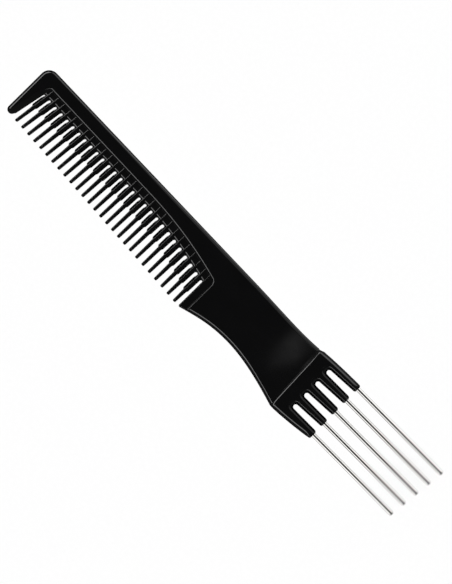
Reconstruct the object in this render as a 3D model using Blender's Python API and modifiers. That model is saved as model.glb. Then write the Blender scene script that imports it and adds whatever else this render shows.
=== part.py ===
# Teasing comb with a lift fork: one flat moulded body whose long edge carries stepped teeth,
# a dished handle, and five straight steel pins moulded into the fingers of a fork at its tail.
# The drawing frame has x = 0 at the head's end, y = 0 at the top of the back and z = 0 in the
# middle of the thickness. The teeth point to -y and the pins to +x. Sizes are in metres.

import math

import bmesh
import bpy
from mathutils import Vector
from mathutils.geometry import interpolate_bezier

# Thicknesses
BLADE_THICKNESS = 0.0044
FORK_THICKNESS = 0.0054
FIELD_STEP = 0.00035
TIP_THICKNESS = 0.0017

# Head and guard tooth
HEAD_CORNER_RADIUS = 0.0037
GUARD_LENGTH = 0.02155
GUARD_ROOT_WIDTH = 0.00555
GUARD_TIP_RADIUS = 0.0016
GUARD_LEAN = math.radians(11.4)
GUARD_FACET_TOP = 0.0008
GUARD_FACET_LEAN = math.radians(13.2)
GUARD_FACET_END = 0.0203
GUARD_FACET_SWEEP = 0.001
HEAD_RIM = 0.00055

# Back and handle
SPINE_SLOPE = 0.0205
SPINE_RIM = 0.00105
SPINE_RIM_START = 0.034
HANDLE_LENGTH = 0.0433
HANDLE_WAIST_WIDTH = 0.0213
HANDLE_WAIST_AT = 0.0170
HANDLE_RIM = 0.0013
HANDLE_END_RISE = math.radians(16.7)
SHOULDER_WIDTH = 0.0035
SHOULDER_CORNER_RADIUS = 0.0018
SHOULDER_TIP_RADIUS = 0.0006
TOE_RISE = math.radians(15.8)
RIM_STEPS = 3

# Tooth row
CLOSE_TEETH = 20
WIDE_TEETH = 7
CLOSE_PITCH = 0.003105
WIDE_PITCH = 0.003335
PITCH_LINE_DEPTH = 0.013
LUG_WIDTH = 0.0022
LUG_LENGTH = 0.0053
LUG_STEP = 0.0006
LUG_EDGE_ROUND = 0.00014
WING_DROP = 0.0005
RIB_WIDTH = 0.00132
RIB_FACE_WIDTH = 0.00054
FINE_TOP_WIDTH = 0.00142
FINE_TIP_WIDTH = 0.00106
FINE_BEVEL = 0.0003
SHOULDER_BEVEL = 0.0003
TOOTH_TIP_RADIUS = 0.00042
SLIT_WIDTH = 0.0009
ROOT_BULB_RADIUS = 0.00056
ROOT_BULB_REACH = 1.6 * ROOT_BULB_RADIUS
ROOT_BULB_OVERHANG = 25
TIP_CHAMFER = 0.0009
TIP_CHAMFER_DEPTH = 0.0004

# The fan of the teeth: the first one leans most, towards the head
FAN_BASE_LEAN = math.radians(-0.9)
FAN_EXTRA_LEAN = math.radians(-7.0)
FAN_POWER = 1.8

# Lines that the tooth row follows, as depths below the back at the head
DROOP_START = 0.0568
LEDGE_DEPTH = 0.00478
LEDGE_SLOPE = 0.0262
LEDGE_DROOP = 3.29
ROOT_BELOW_LEDGE = 0.0032
ROOT_SPREAD = 0.0075
LUG_DROOP = 1.2
TIP_LINE_DEPTH = 0.0213
TIP_LINE_SLOPE = 0.0613

# Above each gap: a shelf as low as the wings, then a slope to a sunk panel between two ribs
SHELF_RUN = 0.00042
SHELF_SLOPE = 0.0004
PANEL_DROP = 0.00024
PANEL_BELOW_LEDGE = 0.0007
GAP_COLUMNS = (0.0, 0.16, 0.38, 0.62, 0.84, 1.0)

# Thumb rest in both faces of the handle, and the ridge where it ends
THUMB_REST_LENGTH = 0.020
THUMB_REST_DEPTH_TOP = 0.0007
THUMB_REST_DEPTH_BOTTOM = 0.00025
RIDGE_WIDTH = 0.0009
RIDGE_LEAN = 0.0010
RIDGE_ROUND = 0.00075
RIDGE_BEFORE_EDGE = 0.0005

# Fork and its fingers
FORK_BODY_LENGTH = 0.0061
FINGER_LENGTH = 0.0121
FORK_STANDS_PROUD = 0.0005
BLADE_TONGUE_INSET = 0.0018
FORK_TOP_MARGIN = 0.00145
FORK_TOP_TAPER = 0.0006
FORK_BOTTOM_MARGIN = 0.0019
FORK_BOTTOM_TAPER = 0.0017
FORK_END_SLOPE = 0.0004
FORK_TOP_RIM = 0.0012
FORK_BOTTOM_RIM = 0.0014
FORK_END_RIM = 0.0005
FORK_FACE_CORNER = 0.001
FINGER_CORNER_RADIUS = 0.0007
SLOT_MOUTH_WIDTH = 0.0024
SLOT_ROOT_WIDTH = 0.0018
SLOT_BEVEL = 0.0008
SLOT_END_BEVEL = 0.00115
SLOT_BEVEL_DEPTH = 0.0009

# Pins
PIN_COUNT = 5
PIN_PITCH = 0.00555
PIN_DIAMETER = 0.0017
PIN_ROW_TOP = 0.0028
PIN_REACH = 0.0414
PIN_STEP_BACK = 0.00055
PIN_SEAT = 0.0142
PIN_TIP_ROUND = 0.0006
PIN_GROOVE_DEPTH = 0.0003
PIN_GROOVE_LENGTH = 0.0016
PIN_SIDES = 14
BORE_CLEARANCE = 0.00003
BORE_END_CLEARANCE = 0.0003

# How far a cutter stands clear of the surface that it cuts
CUTTER_MARGIN = 0.0001
CUTTER_REACH = 0.003

TOOTH_COUNT = CLOSE_TEETH + WIDE_TEETH
GAP_COUNT = TOOTH_COUNT + 1


# Lines along the tooth row

def droop(x, amount):
    return amount * max(0.0, x - DROOP_START) ** 2


def ledge_y(x):
    return -(LEDGE_DEPTH + LEDGE_SLOPE * x + droop(x, LEDGE_DROOP))


def root_y(x):
    return ledge_y(x) - ROOT_BELOW_LEDGE - ROOT_SPREAD * x


def lug_end_y(x):
    return root_y(x) - LUG_LENGTH - droop(x, LUG_DROOP)


def tip_y(x):
    return -(TIP_LINE_DEPTH + TIP_LINE_SLOPE * x)


# Places of the teeth

def guard_inner_x(y):
    return GUARD_ROOT_WIDTH + (y - root_y(GUARD_ROOT_WIDTH)) * math.tan(GUARD_LEAN)


FIRST_TOOTH_X = guard_inner_x(-PITCH_LINE_DEPTH) + SLIT_WIDTH + LUG_WIDTH / 2


def tooth_x(index):
    close = min(index, CLOSE_TEETH - 1)
    wide = index - close
    return FIRST_TOOTH_X + close * CLOSE_PITCH + wide * WIDE_PITCH


def tooth_axis_x(index, y):
    rest = max(0.0, 1.0 - index / CLOSE_TEETH)
    lean = FAN_BASE_LEAN + FAN_EXTRA_LEAN * rest ** FAN_POWER
    return tooth_x(index) + (-PITCH_LINE_DEPTH - y) * math.tan(lean)


SHOULDER_X = tooth_x(TOOTH_COUNT - 1) + LUG_WIDTH / 2 + SLIT_WIDTH
LEDGE_END_X = SHOULDER_X + SHOULDER_WIDTH
RIDGE_X = LEDGE_END_X + HANDLE_LENGTH
FORK_END_X = RIDGE_X + FORK_BODY_LENGTH + FINGER_LENGTH


# Places of the pins and the edges of the fork

def pin_y(index):
    return -PIN_ROW_TOP - index * PIN_PITCH


def finger_end_x(y):
    share = (y - pin_y(0)) / (pin_y(PIN_COUNT - 1) - pin_y(0))
    return FORK_END_X + FORK_END_SLOPE * (share - 0.5)


def ridge_x(y):
    share = (y - pin_y(0)) / (pin_y(PIN_COUNT - 1) - pin_y(0))
    return RIDGE_X + RIDGE_LEAN * (share - 0.5)


FORK_TOP_Y = pin_y(0) + FORK_TOP_MARGIN
FORK_TOP_ROOT_Y = FORK_TOP_Y - FORK_TOP_TAPER
FORK_BOTTOM_Y = pin_y(PIN_COUNT - 1) - FORK_BOTTOM_MARGIN
FORK_BOTTOM_ROOT_Y = FORK_BOTTOM_Y - FORK_BOTTOM_TAPER


# Drawing helpers

def arc(centre, radius, start_degrees, end_degrees, steps):
    points = []
    for step in range(steps + 1):
        angle = math.radians(start_degrees + (end_degrees - start_degrees) * step / steps)
        points.append((centre[0] + radius * math.cos(angle), centre[1] + radius * math.sin(angle)))
    return points


def bezier(start, start_handle, end_handle, end, steps):
    knots = [Vector((x, y, 0.0)) for x, y in (start, start_handle, end_handle, end)]
    return [(p.x, p.y) for p in interpolate_bezier(*knots, steps + 1)]


def new_object(name, bm, collection, frame):
    mesh = bpy.data.meshes.new(name)
    bm.to_mesh(mesh)
    bm.free()
    thing = bpy.data.objects.new(name, mesh)
    collection.objects.link(thing)
    thing.parent = frame
    return thing


def loft(bm, sections):
    """A closed body through sections that have the same number of points."""
    rings = [[bm.verts.new(point) for point in section] for section in sections]
    count = len(rings[0])
    faces = [bm.faces.new(rings[0]), bm.faces.new(reversed(rings[-1]))]
    for near, far in zip(rings, rings[1:]):
        for here in range(count):
            there = (here + 1) % count
            faces.append(bm.faces.new((near[here], far[here], far[there], near[there])))
    bmesh.ops.recalc_face_normals(bm, faces=faces)
    bmesh.ops.triangulate(bm, faces=faces)


def mirrored(sections):
    """The same sections on the other face of the comb."""
    return [[(x, y, -z) for x, y, z in section] for section in sections]


def between(start, end, share):
    return tuple(a + (b - a) * share for a, b in zip(start, end))


def rounded(steps):
    """A quarter round as shares of the way in and of the way down from the face."""
    angles = [math.radians(90 * step / steps) for step in range(steps + 1)]
    return [(1 - math.cos(angle), 1 - math.sin(angle)) for angle in angles]


def add_boolean(thing, name, operation, other):
    boolean = thing.modifiers.new(name, "BOOLEAN")
    boolean.operation = operation
    boolean.solver = "EXACT"
    boolean.object = other


def hide(cutter):
    cutter.hide_render = True
    cutter.display_type = "WIRE"
    return cutter


def finish(thing, name, colour, metallic, roughness):
    material = bpy.data.materials.new(name)
    material.use_nodes = True
    shader = material.node_tree.nodes["Principled BSDF"]
    shader.inputs["Base Color"].default_value = (*colour, 1.0)
    shader.inputs["Metallic"].default_value = metallic
    shader.inputs["Roughness"].default_value = roughness
    material.diffuse_color = (*colour, 1.0)
    thing.data.materials.append(material)


# Edges: every outline point of the blade has the same number of levels, the first on its wall
# and the last on its face

def inward(before, here, after):
    """Direction into the body at an outline point that is passed clockwise."""
    normals = []
    for first, second in ((before, here), (here, after)):
        run = Vector(second) - Vector(first)
        normals.append(Vector((run.y, -run.x)).normalized())
    middle = (normals[0] + normals[1]).normalized()
    return middle / max(0.5, middle.dot(normals[0]))


def blade_z(x, y):
    return BLADE_THICKNESS / 2


def field_z(x, y):
    """Height of the tooth row's face above the middle, which falls evenly to the tips."""
    row_depth = TIP_LINE_DEPTH - LEDGE_DEPTH
    share = (y - tip_y(x)) / row_depth
    top = BLADE_THICKNESS / 2 - FIELD_STEP
    return TIP_THICKNESS / 2 + (top - TIP_THICKNESS / 2) * share


def row_z(x, y):
    """Height of a tooth's face, which falls faster in the last part before the tip."""
    share = max(0.0, 1.0 - (y - tip_y(x)) / TIP_CHAMFER)
    return field_z(x, y) - TIP_CHAMFER_DEPTH * share


def rim_levels(points, widths, surface, before, after):
    """Levels of a rounded rim along a run of outline points between two neighbours."""
    chain = [before] + points + [after]
    levels = []
    for index, width in enumerate(widths):
        x, y = points[index]
        into = inward(*chain[index:index + 3])
        point_levels = []
        for share, fall in rounded(RIM_STEPS):
            here_x = x + into.x * width * share
            here_y = y + into.y * width * share
            point_levels.append((here_x, here_y, surface(here_x, here_y) - width * fall))
        levels.append(point_levels)
    return levels


# Head, back and handle

def spine_y(x):
    return -SPINE_SLOPE * max(0.0, x - HEAD_CORNER_RADIUS)


def toe_point(x):
    """Point on the straight lower edge of the shoulder, left of the handle."""
    toe_x = SHOULDER_X + SHOULDER_TIP_RADIUS
    return (x, tip_y(toe_x) + (x - toe_x) * math.tan(TOE_RISE))


def guard_outer_point():
    return (0.0, -GUARD_LENGTH + GUARD_TIP_RADIUS)


def handle_end_point():
    """Where the handle's lower edge meets the fork."""
    return (ridge_x(FORK_BOTTOM_ROOT_Y) - 0.1 * RIDGE_WIDTH, FORK_BOTTOM_ROOT_Y)


def head_and_handle_outline():
    """Outline points and rim widths from the head's corner along the back to the shoulder."""
    corner = HEAD_CORNER_RADIUS
    points = arc((corner, -corner), corner, 180, 90, 6)
    widths = [HEAD_RIM] * len(points)
    curve_start = LEDGE_END_X + 0.2 * HANDLE_LENGTH
    points.append((SPINE_RIM_START, spine_y(SPINE_RIM_START)))
    fork_side = (ridge_x(0.0) - RIDGE_WIDTH, FORK_TOP_ROOT_Y - FORK_STANDS_PROUD)
    reach = 0.35 * HANDLE_LENGTH
    points += bezier(
        (curve_start, spine_y(curve_start)),
        (curve_start + reach, spine_y(curve_start + reach)),
        (fork_side[0] - 0.6 * reach, fork_side[1] - 0.05 * reach),
        fork_side,
        6,
    )
    widths += [SPINE_RIM] * (len(points) - len(widths))
    end_x = RIDGE_X + 3 * RIDGE_WIDTH
    points.append((end_x, FORK_TOP_ROOT_Y - BLADE_TONGUE_INSET))
    points.append((end_x, FORK_BOTTOM_ROOT_Y + BLADE_TONGUE_INSET))
    widths += [0.5 * FORK_STANDS_PROUD] * 2
    waist_x = LEDGE_END_X + HANDLE_WAIST_AT
    waist = (waist_x, spine_y(waist_x) - HANDLE_WAIST_WIDTH)
    lower_end = handle_end_point()
    reach = 0.33 * (lower_end[0] - waist_x)
    back = (
        lower_end[0] - reach * math.cos(HANDLE_END_RISE),
        lower_end[1] + reach * math.sin(HANDLE_END_RISE),
    )
    points += bezier(lower_end, back, (waist_x + reach, waist[1]), waist, 8)
    step = toe_point(LEDGE_END_X + FIELD_STEP)
    reach = 0.35 * (waist_x - step[0])
    points += bezier(waist, (waist_x - 1.1 * reach, waist[1]), toe_point(step[0] + reach), step, 6)[1:]
    widths += [HANDLE_RIM] * (len(points) - len(widths))
    return points, widths


def head_and_handle_levels():
    points, widths = head_and_handle_outline()
    return rim_levels(points, widths, blade_z, guard_outer_point(), toe_point(LEDGE_END_X))


# Guard tooth: a facet falls from its face to its inner edge, and a full round ends it

def facet_line_x(y):
    """Line on the guard tooth's face where the facet towards the teeth starts."""
    top = GUARD_ROOT_WIDTH - GUARD_FACET_TOP
    return top + (y + LEDGE_DEPTH) * math.tan(GUARD_FACET_LEAN)


def facet_z(x, y):
    share = (guard_inner_x(y) - x) / (guard_inner_x(y) - facet_line_x(y))
    return field_z(x, y) + (blade_z(x, y) - field_z(x, y)) * share


def facet_levels(x, y, line_y):
    """Levels that follow the facet from the inner edge up to its line on the face."""
    edge_z = min(facet_z(x, y), blade_z(x, y) - HEAD_RIM)
    edge = (x, y, edge_z)
    line = (facet_line_x(line_y), line_y, blade_z(x, y))
    return [between(edge, line, step / RIM_STEPS) for step in range(RIM_STEPS + 1)]


def guard_levels():
    """From the first gap's root down the inner edge and round the tip to the outer side."""
    radius = GUARD_TIP_RADIUS
    centre = (radius, -GUARD_LENGTH + radius)
    top = root_y(GUARD_ROOT_WIDTH) - ROOT_BULB_REACH
    levels = []
    for share in (0.0, 0.35, 0.7):
        y = top + (centre[1] - top) * share
        levels.append(facet_levels(guard_inner_x(y), y, y))
    lean = math.degrees(GUARD_LEAN)
    inner = arc(centre, radius, -lean, -90, 3)
    for step, (x, y) in enumerate(inner):
        line_y = -GUARD_FACET_END + (1 - step / 3) * GUARD_FACET_SWEEP
        levels.append(facet_levels(x, y, line_y))
    outer = arc(centre, radius, -90, -180, 4)
    face_end = Vector((facet_line_x(-GUARD_FACET_END) - centre[0], -GUARD_FACET_END - centre[1]))
    first_angle = math.degrees(math.atan2(face_end.y, face_end.x))
    for step, edge in enumerate(outer[1:], 1):
        share = step / 4
        reach = face_end.length + (radius - HEAD_RIM - face_end.length) * share
        face = arc(centre, reach, first_angle + (-180 - first_angle) * share, 0, 1)[0]
        point_levels = []
        for way_in, fall in rounded(RIM_STEPS):
            x, y = between(edge, face, way_in)
            point_levels.append((x, y, blade_z(x, y) - HEAD_RIM * fall))
        levels.append(point_levels)
    return levels


# Tooth row: its faces lie below the faces of the back and fall towards the tips. A tooth is a
# fine body that runs on up to the ledge as a rib, with a lower wing on each side down to the
# step, where the wide lug ends. Between two ribs lie the shelf round the gap's closed end, a
# slope, and a sunk panel.

def tooth_edge(index, side):
    """Levels along one edge of a tooth from its tip to the root of the gap beside it."""
    axis_x = tooth_x(index)
    tip = tip_y(axis_x)
    radius = TOOTH_TIP_RADIUS
    core = FINE_TIP_WIDTH / 2 - radius
    centre_y = tip + radius
    step = lug_end_y(axis_x)
    root = root_y(axis_x + side * CLOSE_PITCH / 2) - ROOT_BULB_REACH
    fine_top = step - LUG_STEP
    grow = (TIP_CHAMFER - radius) / (fine_top - centre_y)
    chamfer_half = (FINE_TIP_WIDTH + (FINE_TOP_WIDTH - FINE_TIP_WIDTH) * grow) / 2
    edges = []
    for angle in (90, 45, 0):
        across = math.cos(math.radians(angle))
        down = math.sin(math.radians(angle))
        small = radius - FINE_BEVEL
        edges.append((
            (core + radius * across, centre_y - radius * down),
            (core + small * across, centre_y - small * down),
        ))
    edges.append(((chamfer_half, tip + TIP_CHAMFER), (RIB_FACE_WIDTH / 2, tip + TIP_CHAMFER)))
    edges.append(((FINE_TOP_WIDTH / 2, fine_top), (RIB_FACE_WIDTH / 2, fine_top)))
    stations = []
    for outer, inner in edges:
        stations.append([
            (*between(outer, inner, share), FINE_BEVEL * fall) for share, fall in rounded(RIM_STEPS)
        ])
    for y in (step, root):
        stations.append([
            (LUG_WIDTH / 2, y, WING_DROP + LUG_EDGE_ROUND),
            (LUG_WIDTH / 2 - LUG_EDGE_ROUND, y, WING_DROP),
            (RIB_WIDTH / 2, y, WING_DROP),
            (RIB_FACE_WIDTH / 2, y, 0.0),
        ])
    levels = []
    for station in stations:
        point_levels = []
        for across, y, drop in station:
            x = tooth_axis_x(index, y) + side * across
            point_levels.append((x, y, row_z(x, y) - drop))
        levels.append(point_levels)
    return levels


TIP_STATIONS = 3


def shoulder_edge():
    """Levels from the handle's end along the toe and up the row's last edge."""
    radius = SHOULDER_TIP_RADIUS
    toe_x = SHOULDER_X + radius
    toe = toe_point(toe_x)
    points = [toe_point(LEDGE_END_X), toe]
    points += arc((toe_x, toe[1] + radius), radius, 270, 180, 2)[1:]
    points.append((SHOULDER_X, lug_end_y(SHOULDER_X)))
    points.append((SHOULDER_X, root_y(SHOULDER_X) - ROOT_BULB_REACH))
    widths = [SHOULDER_BEVEL] * len(points)
    before = toe_point(LEDGE_END_X + FIELD_STEP)
    after = (SHOULDER_X, root_y(SHOULDER_X))
    return rim_levels(points, widths, field_z, before, after)


def beside_gap(gap, side, y):
    """Places at y of the wall, the slope's foot and the face's edge to the left or right of a gap."""
    if side < 0 and gap == 0:
        return (guard_inner_x(y),) * 3
    if side > 0 and gap == TOOTH_COUNT:
        return SHOULDER_X, SHOULDER_X + 0.3 * SHOULDER_BEVEL, SHOULDER_X + SHOULDER_BEVEL
    axis_x = tooth_axis_x(gap - 1 if side < 0 else gap, y)
    return tuple(axis_x - side * width / 2 for width in (LUG_WIDTH, RIB_WIDTH, RIB_FACE_WIDTH))


def across_gap(gap, y, which, share, drop):
    """Point at a share of the way from the left to the right of a gap, below the row's face."""
    left = beside_gap(gap, -1, y)[which]
    right = beside_gap(gap, 1, y)[which]
    x = left + (right - left) * share
    return (x, y, field_z(x, y) - drop)


def gap_root(gap):
    """Levels round a gap's closed end, from left to right: wall, shelf, slope, panel and brim."""
    middle = root_y(tooth_x(min(gap, TOOTH_COUNT - 1)))
    left = beside_gap(gap, -1, middle)[0]
    right = beside_gap(gap, 1, middle)[0]
    if gap == 0:
        left = guard_inner_x(middle - ROOT_BULB_REACH)
    centre = ((left + right) / 2, root_y((left + right) / 2) - ROOT_BULB_RADIUS)
    turn = (180 + ROOT_BULB_OVERHANG, -ROOT_BULB_OVERHANG)
    bulb = arc(centre, ROOT_BULB_RADIUS, *turn, len(GAP_COLUMNS) - 1)
    grown = arc(centre, ROOT_BULB_RADIUS + LUG_EDGE_ROUND, *turn, len(GAP_COLUMNS) - 1)
    columns = []
    for (x, y), (shelf_x, shelf_y), share in zip(bulb, grown, GAP_COLUMNS):
        here_x = left + (right - left) * share
        foot_y = root_y(here_x) + SHELF_RUN
        slope_y = foot_y + SHELF_SLOPE
        brim_y = ledge_y(here_x) - PANEL_BELOW_LEDGE
        columns.append([
            (x, y, field_z(x, y) - WING_DROP - LUG_EDGE_ROUND),
            (shelf_x, shelf_y, field_z(shelf_x, shelf_y) - WING_DROP),
            across_gap(gap, foot_y, 1, share, WING_DROP),
            across_gap(gap, slope_y, 1, share, PANEL_DROP),
            across_gap(gap, brim_y, 2, share, 0.0),
        ])
    if gap == 0:
        # the guard tooth has no wing, so the first column climbs along its inner edge
        x, y, z = columns[0][0]
        columns[0][1] = (x, y + LUG_EDGE_ROUND, z + LUG_EDGE_ROUND + 0.5 * WING_DROP)
        for level in (2, 3):
            x, y, z = columns[0][level]
            columns[0][level] = (x + CUTTER_MARGIN, y, field_z(x, y) - CUTTER_MARGIN)
    return columns


def row_levels():
    """From the shoulder leftwards round every tooth to the first gap's root.

    Returns the levels and, for each of them, whether it lies beyond a tooth's tip chamfer."""
    levels = shoulder_edge()
    at_tip = [False] * len(levels)
    for gap in range(GAP_COUNT - 1, -1, -1):
        levels += list(reversed(gap_root(gap)))
        at_tip += [False] * (len(levels) - len(at_tip))
        if gap > 0:
            down = list(reversed(tooth_edge(gap - 1, 1)))
            up = tooth_edge(gap - 1, -1)
            levels += down + up
            at_tip += [False] * (len(down) - TIP_STATIONS) + [True] * (2 * TIP_STATIONS)
            at_tip += [False] * (len(up) - TIP_STATIONS)
    return levels, at_tip


# Ledge: the low wall between the face of the back and the tooth row

def ledge_lines():
    """Points along the foot and the brim of the ledge, from the guard tooth to the shoulder."""
    face = BLADE_THICKNESS / 2
    corner = SHOULDER_CORNER_RADIUS
    start_x = guard_inner_x(ledge_y(GUARD_ROOT_WIDTH))
    flat_end_x = LEDGE_END_X - corner
    steps = 8
    foot = []
    brim = [(facet_line_x(ledge_y(0.0)), ledge_y(0.0), face)]
    for step in range(steps + 1):
        x = start_x + (flat_end_x - start_x) * step / steps
        foot.append((x, ledge_y(x)))
        if step > 0:
            brim.append((x, ledge_y(x) + FIELD_STEP, face))
    corner_y = ledge_y(flat_end_x)
    bend = bezier(
        (flat_end_x, corner_y),
        (flat_end_x + 0.6 * corner, corner_y - 0.15 * corner),
        (LEDGE_END_X, corner_y - 0.6 * corner),
        (LEDGE_END_X, corner_y - 1.3 * corner),
        3,
    )
    for (x, y), run_x, run_y in zip(bend[1:], (0.5, 0.8, 1.0), (0.8, 0.5, 0.0)):
        foot.append((x, y))
        brim.append((x + run_x * FIELD_STEP, y + run_y * FIELD_STEP, face))
    last_y = toe_point(LEDGE_END_X)[1] + 2 * HANDLE_RIM
    foot.append((LEDGE_END_X, last_y))
    brim.append((LEDGE_END_X + FIELD_STEP, last_y, face))
    return [(x, y, field_z(x, y)) for x, y in foot], brim


def add_side(bm, rim, row, at_tip, guard, foot, brim, side):
    """Adds one side of the blade, above or below the middle, and returns its wall's edge."""
    ring = rim + row + guard
    levels = [[bm.verts.new((x, y, side * z)) for x, y, z in point] for point in ring]
    foot = [bm.verts.new((x, y, side * z)) for x, y, z in foot]
    brim = [bm.verts.new((x, y, side * z)) for x, y, z in brim]
    count = len(levels)
    for here in range(count):
        near, far = levels[here], levels[(here + 1) % count]
        shared = min(len(near), len(far))
        for low in range(shared - 1):
            bm.faces.new((near[low], far[low], far[low + 1], near[low + 1]))
        if len(near) > shared:
            bm.faces.new((near[shared - 1], far[-1], near[-1]))
        if len(far) > shared:
            bm.faces.new((near[-1], far[shared - 1], far[-1]))
    faces = [point[-1] for point in levels]
    row_start = len(rim)
    guard_start = row_start + len(row)
    bm.faces.new(faces[guard_start:] + faces[:row_start] + list(reversed(brim)))
    flat = [faces[row_start + i] for i, beyond in enumerate(at_tip) if not beyond]
    bm.faces.new(flat + foot)
    for index in range(len(at_tip)):
        if at_tip[index] and not at_tip[index - 1]:
            first = row_start + index - 1
            bm.faces.new(faces[first:first + 2 * TIP_STATIONS + 2])
    for index in range(len(foot) - 1):
        bm.faces.new((foot[index], foot[index + 1], brim[index + 1], brim[index]))
    bm.faces.new((faces[guard_start], brim[0], foot[0], faces[guard_start - 1]))
    bm.faces.new((foot[-1], faces[row_start], faces[row_start - 1], brim[-1]))
    return [point[0] for point in levels]


def make_blade(collection, frame):
    rim = head_and_handle_levels()
    row, at_tip = row_levels()
    guard = guard_levels()
    foot, brim = ledge_lines()
    bm = bmesh.new()
    upper = add_side(bm, rim, row, at_tip, guard, foot, brim, 1)
    lower = add_side(bm, rim, row, at_tip, guard, foot, brim, -1)
    count = len(upper)
    for here in range(count):
        there = (here + 1) % count
        bm.faces.new((upper[here], upper[there], lower[there], lower[here]))
    bmesh.ops.recalc_face_normals(bm, faces=bm.faces)
    bmesh.ops.triangulate(bm, faces=bm.faces)
    return new_object("comb_body", bm, collection, frame)


# Fork block, joined to the blade in the same moulding. Its face has a rounded edge all round,
# with the ridge on the handle's side, and rounded corners where the ridge meets the other edges.

def spread(points, count):
    """Evenly spaced points along a bent line."""
    lengths = [0.0]
    for start, end in zip(points, points[1:]):
        lengths.append(lengths[-1] + math.dist(start, end))
    found = []
    for step in range(count):
        reach = lengths[-1] * step / (count - 1)
        piece = max(place for place in range(len(points) - 1) if lengths[place] <= reach)
        share = (reach - lengths[piece]) / (lengths[piece + 1] - lengths[piece])
        found.append(between(points[piece], points[piece + 1], min(1.0, share)))
    return found


def fork_side_width(x, y):
    side = FORK_TOP_RIM if y > pin_y(PIN_COUNT // 2) else FORK_BOTTOM_RIM
    share = min(1.0, max(0.0, (FORK_END_X - x) / (5 * FINGER_CORNER_RADIUS)))
    return FORK_END_RIM + (side - FORK_END_RIM) * share


def fork_side_edges():
    """Outer and face points along the top, the fingers' ends and the bottom."""
    radius = FINGER_CORNER_RADIUS
    top_end_x = finger_end_x(pin_y(0))
    bottom_end_x = finger_end_x(pin_y(PIN_COUNT - 1))
    past_corner = RIDGE_ROUND + 1.4 * FORK_FACE_CORNER
    top_start = (ridge_x(FORK_TOP_ROOT_Y) + past_corner, FORK_TOP_ROOT_Y)
    bottom_start = (ridge_x(FORK_BOTTOM_ROOT_Y) + past_corner, FORK_BOTTOM_ROOT_Y)
    top = bezier(
        top_start,
        (RIDGE_X + FORK_BODY_LENGTH, FORK_TOP_ROOT_Y + 0.7 * FORK_TOP_TAPER),
        (FORK_END_X - 0.4 * FINGER_LENGTH, FORK_TOP_Y),
        (top_end_x - radius, FORK_TOP_Y),
        5,
    )
    top_corner = arc((top_end_x - radius, FORK_TOP_Y - radius), radius, 90, 0, 4)[1:]
    bottom_corner = arc((bottom_end_x - radius, FORK_BOTTOM_Y + radius), radius, 0, -80, 4)
    bottom = bezier(
        (bottom_end_x - radius, FORK_BOTTOM_Y - 0.05 * radius),
        (FORK_END_X - 0.5 * FINGER_LENGTH, FORK_BOTTOM_Y - 0.55 * FORK_BOTTOM_TAPER),
        (RIDGE_X + FORK_BODY_LENGTH, FORK_BOTTOM_ROOT_Y + 0.1 * FORK_BOTTOM_TAPER),
        bottom_start,
        5,
    )[1:]
    outer = top + top_corner + bottom_corner + bottom
    widths = [fork_side_width(x, y) for x, y in outer]
    end_start = len(top) + len(top_corner) // 2
    end_stop = len(top) + len(top_corner) + len(bottom_corner) // 2
    widths[end_start:end_stop] = [FORK_END_RIM] * (end_stop - end_start)
    before = (top_start[0] - RIDGE_WIDTH, top_start[1])
    after = (bottom_start[0] - RIDGE_WIDTH, bottom_start[1])
    chain = [before] + outer + [after]
    face = []
    for index, width in enumerate(widths):
        into = inward(*chain[index:index + 3]) * width
        face.append((outer[index][0] + into.x, outer[index][1] + into.y))
    return list(zip(outer, face))


def fork_edges():
    """Outer and face points all round the fork block, clockwise from the top of the ridge."""
    corner = FORK_FACE_CORNER
    top_left = (ridge_x(FORK_TOP_ROOT_Y) - 0.7 * RIDGE_WIDTH, FORK_TOP_ROOT_Y - 1.4 * FORK_STANDS_PROUD)
    bottom_left = handle_end_point()
    high_y = FORK_TOP_ROOT_Y - FORK_TOP_RIM - corner
    low_y = FORK_BOTTOM_ROOT_Y + FORK_BOTTOM_RIM + corner
    high = (ridge_x(high_y) - RIDGE_BEFORE_EDGE + RIDGE_ROUND + corner, high_y)
    low = (ridge_x(low_y) - RIDGE_BEFORE_EDGE + RIDGE_ROUND + corner, low_y)
    bend = [(low[0], FORK_BOTTOM_ROOT_Y), bottom_left, (ridge_x(low_y) - RIDGE_BEFORE_EDGE, low_y)]
    edges = fork_side_edges()
    edges += zip(spread(bend, 5), arc(low, corner, 270, 180, 4))
    middle_y = (high_y + low_y) / 2
    middle_x = ridge_x(middle_y) - RIDGE_BEFORE_EDGE
    edges.append(((middle_x, middle_y), (middle_x + RIDGE_ROUND, middle_y)))
    bend = [(ridge_x(high_y) - RIDGE_BEFORE_EDGE, high_y), top_left, (high[0], FORK_TOP_ROOT_Y)]
    edges += zip(spread(bend, 5), arc(high, corner, 180, 90, 4))
    return edges


def make_fork_block(collection, frame):
    face_z = FORK_THICKNESS / 2
    levels = []
    for outer, face in fork_edges():
        width = math.dist(outer, face)
        drop = min(width, max(FORK_TOP_RIM, FORK_BOTTOM_RIM))
        levels.append([
            (*between(outer, face, share), face_z - drop * fall) for share, fall in rounded(RIM_STEPS)
        ])
    upper = [[point[level] for point in levels] for level in range(RIM_STEPS + 1)]
    bm = bmesh.new()
    loft(bm, list(reversed(upper)) + mirrored(upper))
    return hide(new_object("fork_block", bm, collection, frame))


# Thumb rest: a shallow curve that deepens to the ridge, on both faces

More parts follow.
